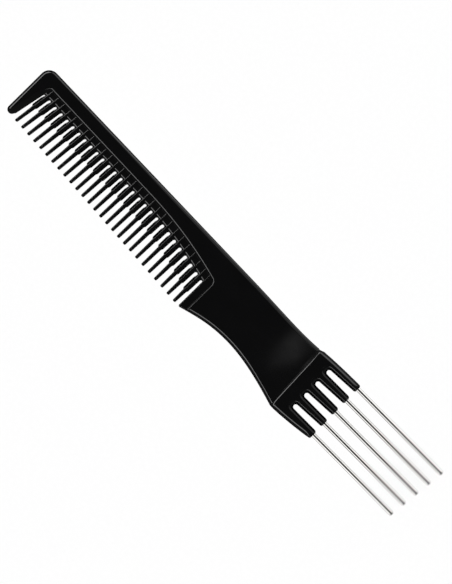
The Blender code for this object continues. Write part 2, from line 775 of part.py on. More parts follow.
def thumb_rest_section(y, depth):
    face = BLADE_THICKNESS / 2
    foot_x = ridge_x(y) - 0.5 * RIDGE_WIDTH
    start_x = foot_x - THUMB_REST_LENGTH
    points = [(start_x - CUTTER_REACH, y, face + CUTTER_REACH)]
    points.append((start_x - CUTTER_REACH, y, face + CUTTER_MARGIN))
    steps = 6
    for step in range(steps + 1):
        share = step / steps
        lift = CUTTER_MARGIN * (1 - share)
        points.append((start_x + share * THUMB_REST_LENGTH, y, face + lift - depth * share ** 2))
    end_x = ridge_x(y) + 2 * RIDGE_WIDTH
    points.append((end_x, y, face - depth))
    points.append((end_x, y, face + CUTTER_REACH))
    return points


def make_thumb_rest(collection, frame):
    top = -SPINE_SLOPE * RIDGE_X + CUTTER_REACH
    bottom = FORK_BOTTOM_ROOT_Y - CUTTER_REACH
    sections = [
        thumb_rest_section(top, THUMB_REST_DEPTH_TOP),
        thumb_rest_section(bottom, THUMB_REST_DEPTH_BOTTOM),
    ]
    bm = bmesh.new()
    loft(bm, sections)
    loft(bm, mirrored(sections))
    return hide(new_object("thumb_rest_cutter", bm, collection, frame))


# Slots between the fingers, with a wide bevel round their closed ends

def slot_section(slot, share, half_height):
    middle = (pin_y(slot) + pin_y(slot + 1)) / 2
    mouth_x = finger_end_x(middle)
    side = SLOT_BEVEL * share
    end_run = SLOT_END_BEVEL * share
    radius = FINGER_CORNER_RADIUS
    low = middle - SLOT_MOUTH_WIDTH / 2 - side
    high_root = middle - SLOT_MOUTH_WIDTH / 2 + SLOT_ROOT_WIDTH + side
    high_mouth = middle + SLOT_MOUTH_WIDTH / 2 + side
    end_radius = (high_root - low) / 2
    end_centre = (mouth_x - FINGER_LENGTH + SLOT_ROOT_WIDTH / 2 + side - end_run, (low + high_root) / 2)
    flare = 1.05 * radius - 0.7 * side
    outline = [
        (mouth_x + CUTTER_REACH, high_mouth + flare),
        (mouth_x + 0.35 * radius, high_mouth + flare),
        (mouth_x - 0.35 * radius, high_mouth + 0.3 * flare),
        (mouth_x - radius, high_mouth),
    ]
    outline += arc(end_centre, end_radius, 90, 270, 6)
    outline += [
        (mouth_x - radius, low),
        (mouth_x - 0.35 * radius, low - 0.3 * flare),
        (mouth_x + 0.35 * radius, low - flare),
        (mouth_x + CUTTER_REACH, low - flare),
    ]
    return [(x, y, half_height) for x, y in outline]


def make_fork_slots(collection, frame):
    face = FORK_THICKNESS / 2
    beyond = 1 + CUTTER_MARGIN / SLOT_BEVEL_DEPTH
    bm = bmesh.new()
    for slot in range(PIN_COUNT - 1):
        upper = [
            slot_section(slot, 0.0, face - SLOT_BEVEL_DEPTH),
            slot_section(slot, 0.6, face - 0.55 * SLOT_BEVEL_DEPTH),
            slot_section(slot, beyond, face + CUTTER_MARGIN),
        ]
        loft(bm, list(reversed(mirrored(upper))) + upper)
    return hide(new_object("fork_slot_cutter", bm, collection, frame))


# Pins: drawn steel wire, turned here as a profile about its own axis

def pin_profile(foot, tip, spare):
    """Half section of a pin as radius and height, from the tip down, with spare all round."""
    radius = PIN_DIAMETER / 2 + spare
    groove_middle = -PIN_SEAT / 2
    groove_top = groove_middle + PIN_GROOVE_LENGTH / 2 - spare / 2
    groove_bottom = groove_middle - PIN_GROOVE_LENGTH / 2 + spare / 2
    neck = radius - PIN_GROOVE_DEPTH
    round_off = PIN_TIP_ROUND
    return [
        (0.0, tip),
        (0.55 * radius, tip - 0.1 * round_off),
        (0.85 * radius, tip - 0.4 * round_off),
        (radius, tip - round_off),
        (radius, groove_top),
        (neck, groove_top - PIN_GROOVE_DEPTH),
        (neck, groove_bottom + PIN_GROOVE_DEPTH),
        (radius, groove_bottom),
        (radius, foot + 0.3 * PIN_DIAMETER),
        (0.7 * radius, foot),
        (0.0, foot),
    ]


def turned(name, profile, collection, frame):
    """A closed turned body from a profile whose ends lie on the axis."""
    mesh = bpy.data.meshes.new(name)
    edges = [(i, i + 1) for i in range(len(profile) - 1)]
    mesh.from_pydata([(radius, 0.0, height) for radius, height in profile], edges, [])
    thing = bpy.data.objects.new(name, mesh)
    collection.objects.link(thing)
    thing.parent = frame
    screw = thing.modifiers.new("turn", "SCREW")
    screw.steps = PIN_SIDES
    screw.render_steps = PIN_SIDES
    screw.use_merge_vertices = True
    screw.merge_threshold = 0.000001
    return thing


def lay_along_x(thing, x, y):
    thing.location = (x, y, 0.0)
    thing.rotation_euler = (0.0, math.radians(90.0), 0.0)


def make_pins(collection, frame):
    pins = []
    for index in range(PIN_COUNT):
        y = pin_y(index)
        reach = FORK_END_X + PIN_REACH - index * PIN_STEP_BACK - finger_end_x(y)
        pin = turned("lift_pin_%d" % (index + 1), pin_profile(-PIN_SEAT, reach, 0.0), collection, frame)
        lay_along_x(pin, finger_end_x(y), y)
        pins.append(pin)
    return pins


def make_bores(collection, frame):
    bores = []
    for index in range(PIN_COUNT):
        y = pin_y(index)
        foot = -PIN_SEAT - BORE_END_CLEARANCE
        profile = pin_profile(foot, CUTTER_REACH, BORE_CLEARANCE)
        bore = turned("pin_bore_cutter_%d" % (index + 1), profile, collection, frame)
        lay_along_x(bore, finger_end_x(y), y)
        bores.append(hide(bore))
    return bores


def seat_on_origin(frame):
    """Puts the origin under the middle of the whole comb as it lies on its face."""
    outline = head_and_handle_outline()[0] + [outer for outer, face in fork_edges()]
    lowest = min(y for x, y in outline)
    highest = max(y for x, y in outline)
    longest = FORK_END_X + PIN_REACH
    frame.location = (-longest / 2, -(lowest + highest) / 2, FORK_THICKNESS / 2)


def build():
    for thing in list(bpy.data.objects):
        bpy.data.objects.remove(thing, do_unlink=True)
    parts = bpy.data.collections.new("teasing_comb")
    cutters = bpy.data.collections.new("cutters")
    for collection in (parts, cutters):
        bpy.context.scene.collection.children.link(collection)
    frame = bpy.data.objects.new("comb_frame", None)
    parts.objects.link(frame)
    seat_on_origin(frame)

    body = make_blade(parts, frame)
    fork = make_fork_block(cutters, frame)
    add_boolean(fork, "fork_slots", "DIFFERENCE", make_fork_slots(cutters, frame))
    add_boolean(body, "thumb_rest", "DIFFERENCE", make_thumb_rest(cutters, frame))
    add_boolean(body, "join_fork", "UNION", fork)
    for bore in make_bores(cutters, frame):
        add_boolean(body, bore.name, "DIFFERENCE", bore)
    finish(body, "moulded_black_plastic", (0.012, 0.012, 0.013), 0.0, 0.18)

    for pin in make_pins(parts, frame):
        finish(pin, "polished_steel", (0.62, 0.61, 0.59), 1.0, 0.16)


build()
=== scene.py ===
# A teasing comb with a lift fork at its tail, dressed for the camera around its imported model.
# Shapes are drawn in millimetres: x = 0 at the head's end, y = 0 at the top of the back, z = 0 in
# the middle of the thickness, the teeth to -y and the pins to +x. Each piece is put into the
# model's frame, in metres, once it is whole.

import math

import bmesh
import bpy
from mathutils import Matrix, Vector
from mathutils.geometry import interpolate_bezier


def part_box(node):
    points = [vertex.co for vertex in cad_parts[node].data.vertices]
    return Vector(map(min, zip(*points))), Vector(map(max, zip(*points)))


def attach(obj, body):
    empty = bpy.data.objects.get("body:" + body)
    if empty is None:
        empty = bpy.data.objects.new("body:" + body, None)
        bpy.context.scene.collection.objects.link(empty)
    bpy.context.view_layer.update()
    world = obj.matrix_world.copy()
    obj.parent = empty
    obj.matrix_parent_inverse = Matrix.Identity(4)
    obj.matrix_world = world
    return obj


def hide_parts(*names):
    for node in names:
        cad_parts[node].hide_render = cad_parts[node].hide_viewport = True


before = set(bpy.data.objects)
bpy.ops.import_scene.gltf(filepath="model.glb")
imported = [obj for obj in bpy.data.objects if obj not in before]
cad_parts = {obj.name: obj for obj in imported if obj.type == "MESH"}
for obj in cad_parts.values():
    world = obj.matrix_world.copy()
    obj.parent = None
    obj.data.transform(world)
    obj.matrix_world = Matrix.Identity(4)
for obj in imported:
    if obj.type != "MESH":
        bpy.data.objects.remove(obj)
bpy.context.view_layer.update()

# Blade: the comb's flat back, head and handle. It is injection moulded in one with the teeth and
# the fork, from a glossy black plastic, in a mould whose two halves meet half way up the walls,
# so each wall leans in a little from that line and every face ends in a rounded rim.

MM = 0.001
BODY_LOW, BODY_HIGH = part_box("comb_body")
DRAWING_TO_FRAME = Matrix.Translation(
    (BODY_LOW.x, BODY_HIGH.y, (BODY_LOW.z + BODY_HIGH.z) / 2)
) @ Matrix.Diagonal((MM, MM, MM, 1.0))

FORK_THICKNESS = (BODY_HIGH.z - BODY_LOW.z) / MM
FORK_STANDS_PROUD = 0.5
FACE = FORK_THICKNESS / 2 - FORK_STANDS_PROUD
DRAFT = 0.05

# The back, and the lines that the ledge, the gaps and the tips follow
HEAD_CORNER_RADIUS = 3.7
ROUND_STEPS = 14
SPINE_SLOPE = 0.0205
SPINE_RIM_START = 22.0
SPINE_POINTS_X = (SPINE_RIM_START, 40.0, 60.0, 80.0)
HEAD_POINTS_Y = (-14.0, -8.0)
LEDGE_DEPTH = 4.78
LEDGE_SLOPE = 0.0262
LEDGE_DROOP = 0.00329
DROOP_START = 56.8
LEDGE_STEP = 0.35
LEDGE_LINE_SHIFT = 0.4
TOE_LINE_SHIFT = 0.55
ROOT_BELOW_LEDGE = 3.2
ROOT_SPREAD = 0.0075
TIP_LINE_DEPTH = 21.3
TIP_LINE_SLOPE = 0.0613
TIP_HALF_THICKNESS = 0.85

# The guard tooth at the head's end
GUARD_LENGTH = 21.55
GUARD_ROOT_WIDTH = 5.9
GUARD_TIP_RADIUS = 1.6
GUARD_TIP_STEPS = 16
GUARD_LEAN = math.radians(11.4)
GUARD_FACET_TOP = 1.15
GUARD_FACET_LEAN = math.radians(13.2)
GUARD_FACET_END = 20.3

# The handle, the shoulder in front of it and the ridge at its end
LEDGE_END = 94.4155
HANDLE_LENGTH = 43.3
HANDLE_WAIST_WIDTH = 21.3
HANDLE_WAIST_AT = 17.0
HANDLE_END_RISE = math.radians(16.7)
HANDLE_STEPS = 24
HANDLE_TOE_STEPS = 18
SHOULDER_WIDTH = 3.5
SHOULDER_TIP_RADIUS = 0.6
LEDGE_CORNER = 1.8
LEDGE_CORNER_STEPS = 10
LEDGE_STEPS = 30
TOE_RISE = math.radians(15.8)
TOE_POINTS_UP = (0.5, 1.5, 4.0, 7.0)
RIDGE_X = LEDGE_END + HANDLE_LENGTH
RIDGE_LEAN = 1.0
RIDGE_TOP_Y = -2.8
RIDGE_SPAN = 22.2
RIDGE_WIDTH = 0.9
FORK_TOP_ROOT = -1.95
FORK_BOTTOM_ROOT = -28.6


def droop(x, amount):
    return amount * max(0.0, x - DROOP_START) ** 2


def ledge_y(x):
    return -(LEDGE_DEPTH + LEDGE_SLOPE * x + droop(x, LEDGE_DROOP))


def root_y(x):
    return ledge_y(x) - ROOT_BELOW_LEDGE - ROOT_SPREAD * x


def tip_y(x):
    return -(TIP_LINE_DEPTH + TIP_LINE_SLOPE * x)


def row_face(x, y):
    """Height of the tooth row's face, a plane that falls from the ledge to the tips."""
    share = (y - tip_y(x)) / (TIP_LINE_DEPTH - LEDGE_DEPTH)
    return TIP_HALF_THICKNESS + (FACE - LEDGE_STEP - TIP_HALF_THICKNESS) * share


def spine_y(x):
    return -SPINE_SLOPE * max(0.0, x - HEAD_CORNER_RADIUS)


def guard_inner_x(y):
    return GUARD_ROOT_WIDTH + (y - root_y(GUARD_ROOT_WIDTH)) * math.tan(GUARD_LEAN)


def facet_line_x(y):
    """Line on the guard tooth's face where the facet towards the teeth starts."""
    return GUARD_ROOT_WIDTH - GUARD_FACET_TOP + (y + LEDGE_DEPTH) * math.tan(GUARD_FACET_LEAN)


def ridge_x(y):
    """Place of the slightly leaning ridge in front of the fork."""
    return RIDGE_X - RIDGE_LEAN * (0.5 + (y - RIDGE_TOP_Y) / RIDGE_SPAN)


def arc(centre, radius, start_degrees, end_degrees, steps):
    points = []
    for step in range(steps + 1):
        angle = math.radians(start_degrees + (end_degrees - start_degrees) * step / steps)
        points.append((centre[0] + radius * math.cos(angle), centre[1] + radius * math.sin(angle)))
    return points


def bezier(start, start_handle, end_handle, end, steps):
    knots = [Vector((x, y, 0.0)) for x, y in (start, start_handle, end_handle, end)]
    return [(p.x, p.y) for p in interpolate_bezier(*knots, steps + 1)]


def blend(first, second, share):
    return tuple(a + (b - a) * share for a, b in zip(first, second))


def inset(points, widths):
    """Each point of a closed outline, passed clockwise, moved into the body by its width."""
    moved = []
    for index, here in enumerate(points):
        normals = []
        for start, end in ((points[index - 1], here), (here, points[(index + 1) % len(points)])):
            normals.append(Vector((end[1] - start[1], start[0] - end[0])).normalized())
        middle = (normals[0] + normals[1]).normalized()
        step = middle * widths[index] / max(0.6, middle.dot(normals[0]))
        moved.append((here[0] + step.x, here[1] + step.y))
    return moved


def rim(tilts):
    """An edge from its tilts, as (distance in from the face's edge, degrees). Gives its width, and
    from the outer side in, the shares of the way and the drops below the face."""
    drops = [0.0]
    for (near, first), (far, second) in zip(tilts, tilts[1:]):
        drops.append(drops[-1] + (far - near) * math.tan(math.radians((first + second) / 2)))
    width = tilts[-1][0]
    levels = [(1 - tilt[0] / width, drop) for tilt, drop in zip(tilts, drops)]
    return width, levels[::-1]


def mixed(first, second, share):
    """A rim between two others, level by level."""
    width = first[0] + (second[0] - first[0]) * share
    return width, [blend(a, b, share) for a, b in zip(first[1], second[1])]


# Just outside the face a narrow band leans at 12 to 20 degrees and catches the softbox, then the
# rim falls faster to the wall. Each has seven levels, so that one can turn into the next.
HEAD_RIM = rim(((0, 0), (0.06, 12), (0.28, 15), (0.48, 19), (0.7, 34), (0.85, 40), (1.0, 42)))
SPINE_RIM = rim(((0, 0), (0.1, 13), (0.3, 18), (0.55, 23), (0.7, 33), (0.82, 38), (1.0, 42)))
BACK_RIM = rim(((0, 0), (0.3, 4), (0.6, 8), (0.95, 13), (1.15, 17), (1.3, 28), (1.45, 42)))
HANDLE_RIM = rim(((0, 0), (0.06, 12), (0.25, 16), (0.42, 19), (0.6, 32), (0.9, 38), (1.3, 40)))
BURIED_RIM = rim([(0.05 * step, 5 * step) for step in range(7)])


def edge_levels(outer, inner, profile, face):
    """One outline point's levels, from the parting line up the wall and over the edge."""
    levels = [(outer[0], outer[1], 0.0)]
    inwards = (Vector(inner) - Vector(outer)).normalized()
    foot = (outer[0] + inwards.x * DRAFT, outer[1] + inwards.y * DRAFT)
    for share, drop in profile:
        x, y = blend(foot, inner, share)
        levels.append((x, y, face(x, y) - drop))
    return levels


def moulded(outline_levels):
    """A closed body whose two sides mirror each other about the parting line."""
    bm = bmesh.new()
    parting = [bm.verts.new(levels[0]) for levels in outline_levels]
    for side in (1, -1):
        columns = []
        for middle, levels in zip(parting, outline_levels):
            columns.append([middle] + [bm.verts.new((x, y, side * z)) for x, y, z in levels[1:]])
        for near, far in zip(columns, columns[1:] + columns[:1]):
            for step in range(len(near) - 1):
                bm.faces.new((near[step], far[step], far[step + 1], near[step + 1]))
        bm.faces.new([column[-1] for column in columns])
    bmesh.ops.recalc_face_normals(bm, faces=bm.faces)
    return bm


def placed(name, data):
    """A new object in the scene."""
    thing = bpy.data.objects.new(name, data)
    bpy.context.scene.collection.objects.link(thing)
    return thing


def drawn(name, bm):
    """A new object from a finished bmesh."""
    mesh = bpy.data.meshes.new(name)
    bm.to_mesh(mesh)
    bm.free()
    return placed(name, mesh)


REST_LENGTH = 20.0
REST_START = 0.75
REST_DEPTH = 0.58
REST_MIDDLE_Y = -8.5
REST_BOW = 0.0018
REST_LEAST_DEPTH = 0.04
# What a cutter leaves or goes past a face, so that no two faces lie in one plane
SKIN = 0.01


def rest_depth(x, y):
    """Depth of the thumb rest, a dish that falls from the handle's face towards the fork."""
    deepest = max(REST_LEAST_DEPTH, REST_DEPTH - REST_BOW * (y - REST_MIDDLE_Y) ** 2)
    share = min(1.0, max(0.0, 1 - (ridge_x(y) - REST_START - x) / REST_LENGTH))
    return deepest * share ** 2


def blade_face(x, y):
    """Height of the blade's rims, which go down with the thumb rest just before it is cut."""
    return FACE - max(0.0, rest_depth(x, y) - SKIN)


HANDLE_LOW_END = (ridge_x(FORK_BOTTOM_ROOT) - 0.1 * RIDGE_WIDTH, FORK_BOTTOM_ROOT)


def back_and_handle():
    """Outline points and their rims from the head's corner round the handle to the toe."""
    corner = HEAD_CORNER_RADIUS
    points = arc((corner, -corner), corner, 180, 90, ROUND_STEPS)
    steps = len(points) - 1
    rims = [mixed(HEAD_RIM, SPINE_RIM, step / steps) for step in range(steps + 1)]
    straight_end = LEDGE_END + 0.2 * HANDLE_LENGTH
    for x in SPINE_POINTS_X:
        share = (x - SPINE_RIM_START) / (straight_end - SPINE_RIM_START)
        points.append((x, spine_y(x)))
        rims.append(mixed(SPINE_RIM, BACK_RIM, share))
    fork_side = (ridge_x(0.0) - RIDGE_WIDTH, FORK_TOP_ROOT - FORK_STANDS_PROUD)
    reach = 0.35 * HANDLE_LENGTH
    points += bezier(
        (straight_end, spine_y(straight_end)),
        (straight_end + reach, spine_y(straight_end + reach)),
        (fork_side[0] - 0.6 * reach, fork_side[1] - 0.05 * reach),
        fork_side,
        HANDLE_STEPS,
    )
    rims += [BACK_RIM] * (len(points) - len(rims))
    buried = RIDGE_X + 3 * RIDGE_WIDTH
    points += [(buried, FORK_TOP_ROOT - 4 * FORK_STANDS_PROUD), (buried, FORK_BOTTOM_ROOT + 2.5)]
    rims += [BURIED_RIM] * 2
    waist_x = LEDGE_END + HANDLE_WAIST_AT
    waist = (waist_x, spine_y(waist_x) - HANDLE_WAIST_WIDTH)
    reach = 0.33 * (HANDLE_LOW_END[0] - waist_x)
    back = (
        HANDLE_LOW_END[0] - reach * math.cos(HANDLE_END_RISE),
        HANDLE_LOW_END[1] + reach * math.sin(HANDLE_END_RISE),
    )
    points += bezier(HANDLE_LOW_END, back, (waist_x + reach, waist[1]), waist, HANDLE_STEPS)
    step = toe_point(LEDGE_END - TOE_LINE_SHIFT + LEDGE_STEP)
    reach = 0.35 * (waist_x - step[0])
    before = (waist_x - 1.1 * reach, waist[1])
    points += bezier(waist, before, toe_point(step[0] + reach), step, HANDLE_TOE_STEPS)[1:]
    rims += [HANDLE_RIM] * (len(points) - len(rims))
    return points, rims


def toe_point(x):
    """Point on the straight lower edge of the shoulder, left of the handle."""
    toe_x = LEDGE_END - SHOULDER_WIDTH + SHOULDER_TIP_RADIUS
    return (x, tip_y(toe_x) + (x - toe_x) * math.tan(TOE_RISE))


def ledge_points():
    """The ledge's foot from the toe up round its corner and back to the guard tooth."""
    corner_x = LEDGE_END - LEDGE_CORNER
    corner_y = ledge_y(corner_x) - LEDGE_LINE_SHIFT
    end_x = LEDGE_END - TOE_LINE_SHIFT
    points = [(end_x, toe_point(LEDGE_END)[1] + up) for up in TOE_POINTS_UP]
    points += bezier(
        (end_x, corner_y - 1.3 * LEDGE_CORNER),
        (end_x, corner_y - 0.6 * LEDGE_CORNER),
        (corner_x + 0.5 * LEDGE_CORNER, corner_y - 0.15 * LEDGE_CORNER),
        (corner_x, corner_y),
        LEDGE_CORNER_STEPS,
    )
    start_x = guard_inner_x(ledge_y(GUARD_ROOT_WIDTH))
    for step in range(1, LEDGE_STEPS + 1):
        x = corner_x + (start_x - corner_x) * step / LEDGE_STEPS
        points.append((x, ledge_y(x) - LEDGE_LINE_SHIFT))
    return points


LEDGE_WALL = 0.6


def above_a_wall(edge):
    """An edge with one more level, at the foot of a steep wall behind the tooth row."""
    width, levels = edge
    return width, [(0.0, levels[0][1] + LEDGE_WALL)] + levels


LEDGE_RIM = above_a_wall(rim(((0, 0), (0.04, 12), (0.18, 15), (0.36, 19), (0.4, 45), (0.5, 75))))
TOE_RIM = above_a_wall(rim(((0, 0), (0.04, 13), (0.1, 16), (0.2, 20), (0.3, 45), (0.5, 75))))
# The guard tooth's facet is nearly flat, with a short round at its inner edge. It starts narrow at
# the ledge.
FACET = [(0.0, 1.35), (0.02, 1.08), (0.1, 0.93), (0.32, 0.69), (0.56, 0.45), (0.8, 0.2), (1.0, 0.0)]
FACET_FIRST_SHARE = 0.4
FACET_WIDENING = 0.3
FACET_BELOW_LEDGE = 0.5
FACET_STEPS = 10
# A last narrow band, level with the face, that keeps the face's shading flat
FACE_BORDER = 0.02


def blade_levels():
    """The blade's whole outline, clockwise from the head's corner, with its edges' levels."""
    points, rims = back_and_handle()
    outline = list(zip(points, rims))
    for index, point in enumerate(ledge_points()):
        share = min(1.0, max(0.0, (index - len(TOE_POINTS_UP)) / LEDGE_CORNER_STEPS))
        outline.append((point, mixed(TOE_RIM, LEDGE_RIM, share)))
    facet_start = len(outline)
    top = ledge_y(GUARD_ROOT_WIDTH) - FACET_BELOW_LEDGE
    centre = (GUARD_TIP_RADIUS, -GUARD_LENGTH + GUARD_TIP_RADIUS)
    for step in range(FACET_STEPS + 1):
        y = top + (centre[1] - top) * step / FACET_STEPS
        outline.append(((guard_inner_x(y), y), (0.0, FACET)))
    facet_end = len(outline)
    tip = arc(centre, GUARD_TIP_RADIUS, -math.degrees(GUARD_LEAN), -180, GUARD_TIP_STEPS)[1:]
    outline += [(point, HEAD_RIM) for point in tip + [(0.0, y) for y in HEAD_POINTS_Y]]
    inner = inset([point for point, edge in outline], [edge[0] for point, edge in outline])
    levels = []
    for index, (point, edge) in enumerate(outline):
        x, y = point
        profile = edge[1]
        facet = [(share, (FACE - row_face(x, y)) * fall) for share, fall in FACET]
        if facet_start <= index < facet_end:
            share = min(1.0, FACET_FIRST_SHARE + FACET_WIDENING * (index - facet_start))
            inner[index] = blend(point, (facet_line_x(y), y), share)
            profile = facet
        elif facet_end <= index < facet_end + len(tip):
            share = (index - facet_end + 1) / len(tip)
            ease = share * share * (3 - 2 * share)
            inner[index] = blend((facet_line_x(-GUARD_FACET_END), -GUARD_FACET_END), inner[index], ease)
            profile = mixed((0.0, facet), (0.0, profile), ease)[1]
        column = edge_levels(point, inner[index], profile, blade_face)
        step = (Vector(inner[index]) - Vector(point)).normalized() * FACE_BORDER
        levels.append(column + [(column[-1][0] + step.x, column[-1][1] + step.y, FACE)])
    return levels


blade = drawn("comb_moulding", moulded(blade_levels()))

# Web: the thinner strip between the ledge and the gaps. It is part of the same moulding, with a
# shelf along the gaps' round ends, a short slope up to a sunk panel between the ribs, and another
# up to the foot of the ledge.

CLOSE_TEETH = 20
WIDE_TEETH = 7
CLOSE_PITCH = 3.105
WIDE_PITCH = 3.335
PITCH_LINE = -13.0
LUG_WIDTH = 2.2
LUG_SHIFT = 0.05
LUG_NOTCH = 0.08
SLIT_WIDTH = 0.62
FAN_BASE_LEAN = math.radians(-0.9)
FAN_EXTRA_LEAN = math.radians(-7.0)
FAN_POWER = 1.8
TOOTH_COUNT = CLOSE_TEETH + WIDE_TEETH
FIRST_TOOTH_X = guard_inner_x(PITCH_LINE) + SLIT_WIDTH + LUG_WIDTH / 2
SHOULDER_X = LEDGE_END - SHOULDER_WIDTH

SHELF_DROP = 0.5
SHELF_RUN = 0.3
SHELF_ROUND = 0.06
SLOPE_RUN = 0.12
SLOPE_EDGE = 0.28
SLOPE_EDGE_ROUND = ((0.0, 0.2), (0.75, 0.04), (1.0, 0.0))
PANEL_DROP = 0.24
PANEL_END = 0.9
PANEL_RUN = 0.22
LEDGE_FOOT_DROP = 0.1
GAP_END_SIDE = 0.12
GAP_END_LOW = 0.15
GAP_END_ANGLES = (176, 158, 135, 112, 90, 68, 45, 22, 4)
WEB_UNDER_TOOTH = 1.0
WEB_UNDER_LEDGE = 1.0
WEB_INTO_GUARD = 1.2
WEB_INTO_SHOULDER = 1.5
WEB_BELOW_ROOT = 0.3


def tooth_x(index):
    close = min(index, CLOSE_TEETH - 1)
    return FIRST_TOOTH_X + close * CLOSE_PITCH + (index - close) * WIDE_PITCH


def tooth_lean(index):
    rest = max(0.0, 1.0 - index / CLOSE_TEETH)
    return FAN_BASE_LEAN + FAN_EXTRA_LEAN * rest ** FAN_POWER


def tooth_axis_x(index, y):
    return tooth_x(index) + (PITCH_LINE - y) * math.tan(tooth_lean(index))


def gap_edges(gap):
    """Left and right edge of a gap at its closed end, where each lug is narrower on its left."""
    if gap == 0:
        left = guard_inner_x(root_y(GUARD_ROOT_WIDTH))
    else:
        left = tooth_axis_x(gap - 1, root_y(tooth_x(gap - 1))) + LUG_WIDTH / 2 + LUG_SHIFT
    if gap == TOOTH_COUNT:
        right = SHOULDER_X
    else:
        right = tooth_axis_x(gap, root_y(tooth_x(gap))) - LUG_WIDTH / 2 + LUG_NOTCH
    return left, right


def web_section(x, y, up, root):
    """Section through the web at x, whose lowest point is y and whose rounding points up."""
    shelf_y = root + SHELF_RUN
    profile = [(x, y, 0.0)]
    for share, fall in ((0.0, 1.0), (0.3, 0.35), (1.0, 0.0)):
        here_x = x + up[0] * SHELF_ROUND * share
        here_y = y + up[1] * SHELF_ROUND * share
        profile.append((here_x, here_y, row_face(here_x, here_y) - SHELF_DROP - SHELF_ROUND * fall))
    slope_y = shelf_y + SLOPE_RUN
    steps = [(shelf_y, SHELF_DROP)]
    for share, fall in SLOPE_EDGE_ROUND:
        steps.append((slope_y + share * SLOPE_EDGE, PANEL_DROP + fall * SLOPE_EDGE))
    steps += [
        (ledge_y(x) - PANEL_END, PANEL_DROP),
        (ledge_y(x) - PANEL_END + PANEL_RUN, LEDGE_FOOT_DROP),
        (ledge_y(x) + WEB_UNDER_LEDGE, LEDGE_FOOT_DROP),
    ]
    for here_y, drop in steps:
        profile.append((x, here_y, row_face(x, here_y) - drop))
    mirror = [(px, py, -pz) for px, py, pz in reversed(profile[1:])]
    return profile + mirror


def bridge(bm, rings):
    """Faces between rings that have the same number of points."""
    count = len(rings[0])
    for near, far in zip(rings, rings[1:]):
        for here in range(count):
            there = (here + 1) % count
            bm.faces.new((near[here], near[there], far[there], far[here]))


def loft(sections):
    """A closed body through sections that have the same number of points."""
    bm = bmesh.new()
    rings = [[bm.verts.new(point) for point in section] for section in sections]
    bm.faces.new(reversed(rings[0]))
    bm.faces.new(rings[-1])
    bridge(bm, rings)
    bmesh.ops.recalc_face_normals(bm, faces=bm.faces)
    return bm


def web_sections():
    sections = []
    for gap in range(TOOTH_COUNT + 1):
        left, right = gap_edges(gap)
        radius = (right - left + GAP_END_SIDE) / 2
        centre = left + radius
        root = root_y(centre)
        for angle in GAP_END_ANGLES:
            turn = math.radians(angle)
            out = (math.cos(turn), math.sin(turn))
            x = centre + radius * out[0]
            y = root - GAP_END_LOW - radius + radius * out[1]
            sections.append(web_section(x, y, out, root_y(x)))
        if gap < TOOTH_COUNT:
            middle = tooth_axis_x(gap, root_y(tooth_x(gap)))
            root = root_y(middle)
            sections.append(web_section(middle, root - WEB_UNDER_TOOTH, (0.0, 1.0), root))
    ends = []
    for x in (guard_inner_x(root_y(0.0)) - WEB_INTO_GUARD, SHOULDER_X + WEB_INTO_SHOULDER):
        ends.append(web_section(x, root_y(x) - WEB_BELOW_ROOT, (0.0, 1.0), root_y(x)))
    return ends[:1] + sections + ends[1:]


web = drawn("web", loft(web_sections()))

# Shoulder: the strip that closes the row beside the handle, as low as the teeth and moulded with
# them, with a blunt corner at the toe.

SHOULDER_RIM = rim(((0, 0), (0.06, 14), (0.18, 24), (0.35, 42)))
SHOULDER_INTO_HANDLE = 1.5
SHOULDER_UNDER_LEDGE = 1.0
SHOULDER_MIDDLE_Y = -20.0


def shoulder_levels():
    """The strip's outline from the handle round the toe and up to the ledge, with its edges."""
    radius = SHOULDER_TIP_RADIUS
    toe_x = SHOULDER_X + radius
    toe = toe_point(toe_x)
    buried = LEDGE_END + SHOULDER_INTO_HANDLE
    top = ledge_y(SHOULDER_X) + SHOULDER_UNDER_LEDGE
    points = [toe_point(buried), toe]
    points += arc((toe_x, toe[1] + radius), radius, 270, 180, 6)[1:]
    points += [(SHOULDER_X, y) for y in (SHOULDER_MIDDLE_Y, root_y(SHOULDER_X), top)]
    points += [(LEDGE_END - 0.6 * LEDGE_CORNER, top - 0.6), (buried, top - 2.5)]
    width, profile = SHOULDER_RIM
    inner = inset(points, [width] * len(points))
    return [edge_levels(a, b, profile, row_face) for a, b in zip(points, inner)]


shoulder = drawn("shoulder", moulded(shoulder_levels()))

# Teeth: twenty close ones and seven wide ones, moulded with the web. Each is a fine tooth whose
# body runs up the web as a rib, with a lower wing on each side that makes its upper half a wide
# lug. The fan of the first teeth, their lengths and their thinning follow the row's lines.

LUG_LENGTH = 5.3
LUG_DROOP = 0.0012
LUG_STEP = 0.6
LUG_EXTRA_LEFT = 0.19
RIB_HALF_WIDTH = 0.66
RIB_FOOT = 0.03
RIB_LINE = 0.18
RIB_LINE_WIDTH = 0.1
RIB_LINE_SLOPE = 0.27
WING_ROUND = 0.06
FINE_TOP_WIDTH = 1.54
FINE_TIP_WIDTH = 1.22
FINE_DROP = 0.36
TOOTH_TIP_RADIUS = 0.42
TIP_PAST_LINE = 0.18
TIP_CHAMFER = 0.9
TIP_CHAMFER_DEPTH = 0.4
TIP_ROLL = 0.22
TIP_SIDE_SHARE = 0.7
TIP_ANGLES = (0, 25, 50, 70, 85)
LINE_NAMES = ("ledge", "root", "lug_end", "tip")
LEDGE_LINE, ROOT_LINE, LUG_END_LINE, TIP_LINE = range(len(LINE_NAMES))


